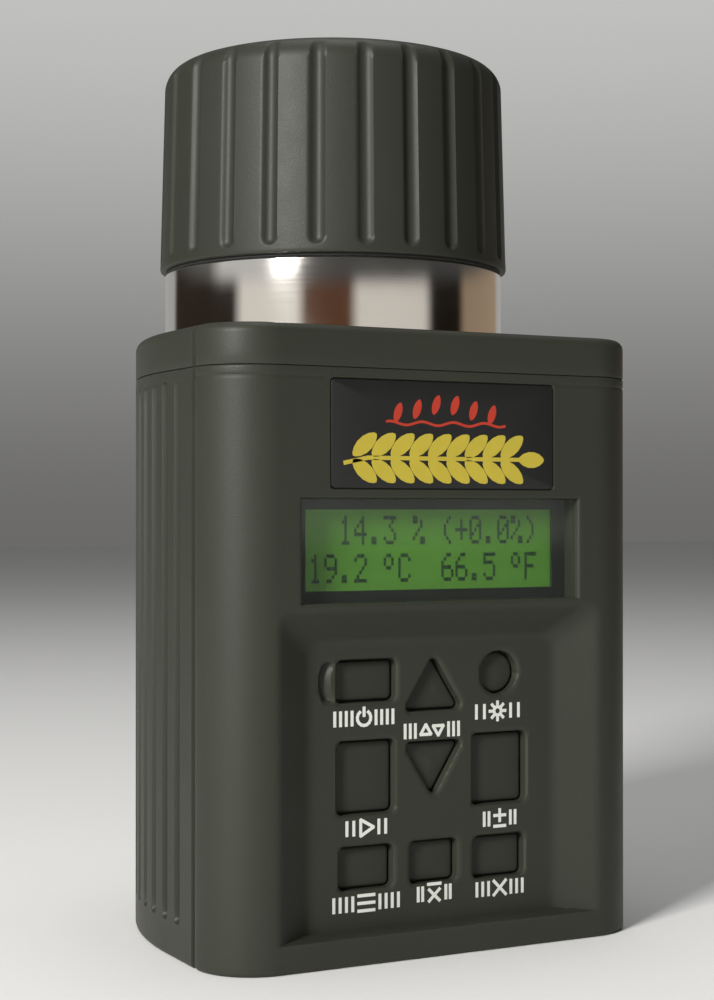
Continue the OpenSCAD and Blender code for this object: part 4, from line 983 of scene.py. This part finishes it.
half = np.array([screen["dotX"], screen["dotZ"]]) * screen["fill"] / 2
square = dots + np.array([(-1, -1), (1, -1), (1, 1), (-1, 1)])[None] * half
prismPiece("displayDots", [square], screen["front"] - 0.05, screen["front"] - 0.005, finishes["lcdInk"], "case")
print("keys, label and display")


# The rest keeps its CAD shape; what shows gets fine rounded edges on a merged copy

def roundedCopy(name, finish, width):
    # the node's own mesh, its flat faces joined again and its sharp edges rounded
    piece = nodes[name].copy()
    piece.data = nodes[name].data.copy()
    piece.name = name + "Rounded"
    for key in [k for k in piece.keys() if k.startswith("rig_")]:
        del piece[key]
    piece.parent = None
    scene.collection.objects.link(piece)
    work = bmesh.new()
    work.from_mesh(piece.data)
    bmesh.ops.remove_doubles(work, verts=work.verts, dist=0.000002)
    bmesh.ops.dissolve_limit(work, angle_limit=math.radians(0.6), verts=work.verts, edges=work.edges)
    work.to_mesh(piece.data)
    work.free()
    piece.data.shade_smooth()
    piece.data.materials.clear()
    piece.data.materials.append(finishes[finish])
    bevel = piece.modifiers.new("fineEdges", "BEVEL")
    bevel.width = width * mm
    bevel.segments = 2
    bevel.limit_method = "ANGLE"
    bevel.angle_limit = math.radians(40)
    bevel.harden_normals = False
    piece.data.set_sharp_from_angle(angle=math.radians(50))
    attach(piece, bodyOf[name])
    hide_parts(name)
    return piece


bodyOf = {n: body for body, names in frame["record"]["behaviour"]["bodies"].items() for n in names}
slotOf = {s["node"]: s["material_slot"] for s in frame["record"]["subparts"]}
roundedNodes = {
    "base_plate": 0.3, "indicator_button": 0.45, "guide_bush": 0.25, "bush_retainer": 0.2, "pressure_plate": 0.35,
    "plunger_stem": 0.25, "cell_floor": 0.2, "electrode": 0.25, "rim_washer": 0.1, "cap_thread_insert": 0.12,
    "battery": 0.9, "battery_clip": 0.4, "battery_tray": 0.25, "cover_screws": 0.12, "base_screws": 0.12,
    "lcd_bezel": 0.12, "cell_carrier": 0.2, "floor_retainer": 0.15, "retainer_screws": 0.1,
}
slotFinish = {
    "case": "case", "keys": "keys", "plating": "plating", "steel": "steel", "brass": "brass", "rubber": "rubber",
    "natural_plastic": "natural", "black_plastic": "black", "red_plastic": "red", "label": "labelFilm", "window": "window",
    "bezel": "bezel", "display": "display", "board": "board", "battery_skin": "battery",
}
for name, width in roundedNodes.items():
    roundedCopy(name, slotFinish[slotOf[name]], width)
for name, piece in nodes.items():
    for part in piece.material_slots:
        part.material = finishes[slotFinish[slotOf[name]]]
print("rounded copies", len(roundedNodes))


# Floor, light and camera

floorMesh = bpy.data.meshes.new("studioFloor")
floorMesh.from_pydata([(-4, -4, 0), (4, -4, 0), (4, 4, 0), (-4, 4, 0)], [], [(0, 1, 2, 3)])
floor = bpy.data.objects.new("studioFloor", floorMesh)
scene.collection.objects.link(floor)
sheet = Finish("studioPaper")
fibre = sheet.noise(700, 3.0)
floorMesh.materials.append(sheet.surface(Base_Color=sheet.mix(fibre, (0.80, 0.80, 0.79), (0.84, 0.84, 0.83)), Roughness=0.85))

scene.world = bpy.data.worlds.new("studio")
studio = Finish("studio", scene.world)
# the studio round the object, as (compass angle, level, tone): two tall panels beside the camera, dark gaps, a paler wall behind
panels = {"towards": (-0.4644, -0.8856, 0), "right": (0.8856, -0.4644, 0),
          "white": (1, 0.96, 0.90), "brown": (1, 0.42, 0.20), "tan": (1, 0.74, 0.52), "grey": (1, 1, 1),
          "low": [(-180, 0.40, "grey"), (-138, 0.40, "grey"), (-132, 0.03, "tan"), (-70, 0.02, "tan"), (-62, 0.74, "white"),
                  (-24, 0.70, "white"), (-17, 0.10, "brown"), (11, 0.10, "brown"), (18, 0.70, "white"), (64, 0.66, "white"),
                  (71, 0.01, "tan"), (94, 0.01, "tan"), (101, 0.30, "tan"), (145, 0.34, "tan"), (152, 0.40, "grey"),
                  (180, 0.40, "grey")],
          "high": [(-180, 0.15, "grey"), (-132, 0.08, "grey"), (-92, 0.14, "grey"), (-80, 0.60, "grey"), (-30, 0.45, "grey"),
                   (-18, 0.08, "grey"), (60, 0.05, "grey"), (110, 0.07, "grey"), (180, 0.15, "grey")]}
ahead = studio.node("ShaderNodeVectorMath", {"operation": "DOT_PRODUCT"}, {0: studio.place, 1: panels["towards"]}, "Value")
aside = studio.node("ShaderNodeVectorMath", {"operation": "DOT_PRODUCT"}, {0: studio.place, 1: panels["right"]}, "Value")
compass = studio.node("ShaderNodeMath", {"operation": "ARCTAN2"}, {0: aside, 1: ahead})
roundShare = studio.node("ShaderNodeMapRange", {}, {"Value": compass, "From Min": -math.pi, "From Max": math.pi})
height = studio.axis("Z")


def studioBand(stops):
    # a ramp over the compass angle, each stop a level times its tone
    ramp = [((angle + 180) / 360, tuple(level * part for part in panels[tone])) for angle, level, tone in stops]
    return studio.node("ShaderNodeValToRGB", {"stops": ramp}, {0: roundShare})


def smoothStep(value, start, end):
    # 0 at start, 1 at end, eased between them
    return studio.node("ShaderNodeMapRange", {"interpolation_type": "SMOOTHSTEP"},
                       {"Value": value, "From Min": start, "From Max": end})


walls = studio.mix(smoothStep(height, 0.15, 0.21), studioBand(panels["low"]), studioBand(panels["high"]))
around = studio.mix(smoothStep(height, 0.72, 0.9), walls, (0.15, 0.15, 0.15))
# the backdrop that the camera sees: painted shade, darker towards the horizon to meet the floor's shaded far end, paler
# above
backdropPaintedShade = studio.mix(smoothStep(height, -0.02, 0.3), (0.155, 0.153, 0.150), (0.58, 0.58, 0.57))
seen = studio.node("ShaderNodeLightPath", {}, {}, "Is Camera Ray")
glow = studio.node("ShaderNodeBackground", {}, {"Color": studio.mix(seen, around, backdropPaintedShade), "Strength": 0.95})
studio.node("ShaderNodeOutputWorld", {}, {"Surface": glow})

lamps = {
    "keyPanel": {"from": (-1.05, -0.62, 0.62), "size": (0.3, 0.3), "power": 23, "colour": (1, 0.985, 0.96)},
    "topPanel": {"from": (0.1, 0.1, 1.2), "size": (0.7, 0.7), "power": 4, "colour": (1, 1, 1)},
}
aim = Vector((0, 0, 0.09))
for name, lamp in lamps.items():
    light = bpy.data.lights.new(name, "AREA")
    light.shape = "RECTANGLE"
    light.size, light.size_y = lamp["size"]
    light.energy = lamp["power"]
    light.color = lamp["colour"]
    stand = bpy.data.objects.new(name, light)
    stand.location = lamp["from"]
    stand.rotation_euler = (aim - Vector(lamp["from"])).to_track_quat("-Z", "Y").to_euler()
    scene.collection.objects.link(stand)

view = {"from": (-0.1867, -0.3671, 0.0859), "turn": 27.67, "pitch": 0.331, "lens": 68.8}
camera = bpy.data.cameras.new("camera")
camera.lens = view["lens"]
camera.sensor_width = 36
camera.clip_start = 0.01
cameraStand = bpy.data.objects.new("camera", camera)
cameraStand.location = view["from"]
turn, pitch = math.radians(view["turn"]), math.radians(view["pitch"])
ahead = Vector((math.sin(turn) * math.cos(pitch), math.cos(turn) * math.cos(pitch), math.sin(pitch)))
cameraStand.rotation_euler = ahead.to_track_quat("-Z", "Y").to_euler()
scene.collection.objects.link(cameraStand)
scene.camera = cameraStand
scene.view_settings.view_transform = "Standard"

print("done")
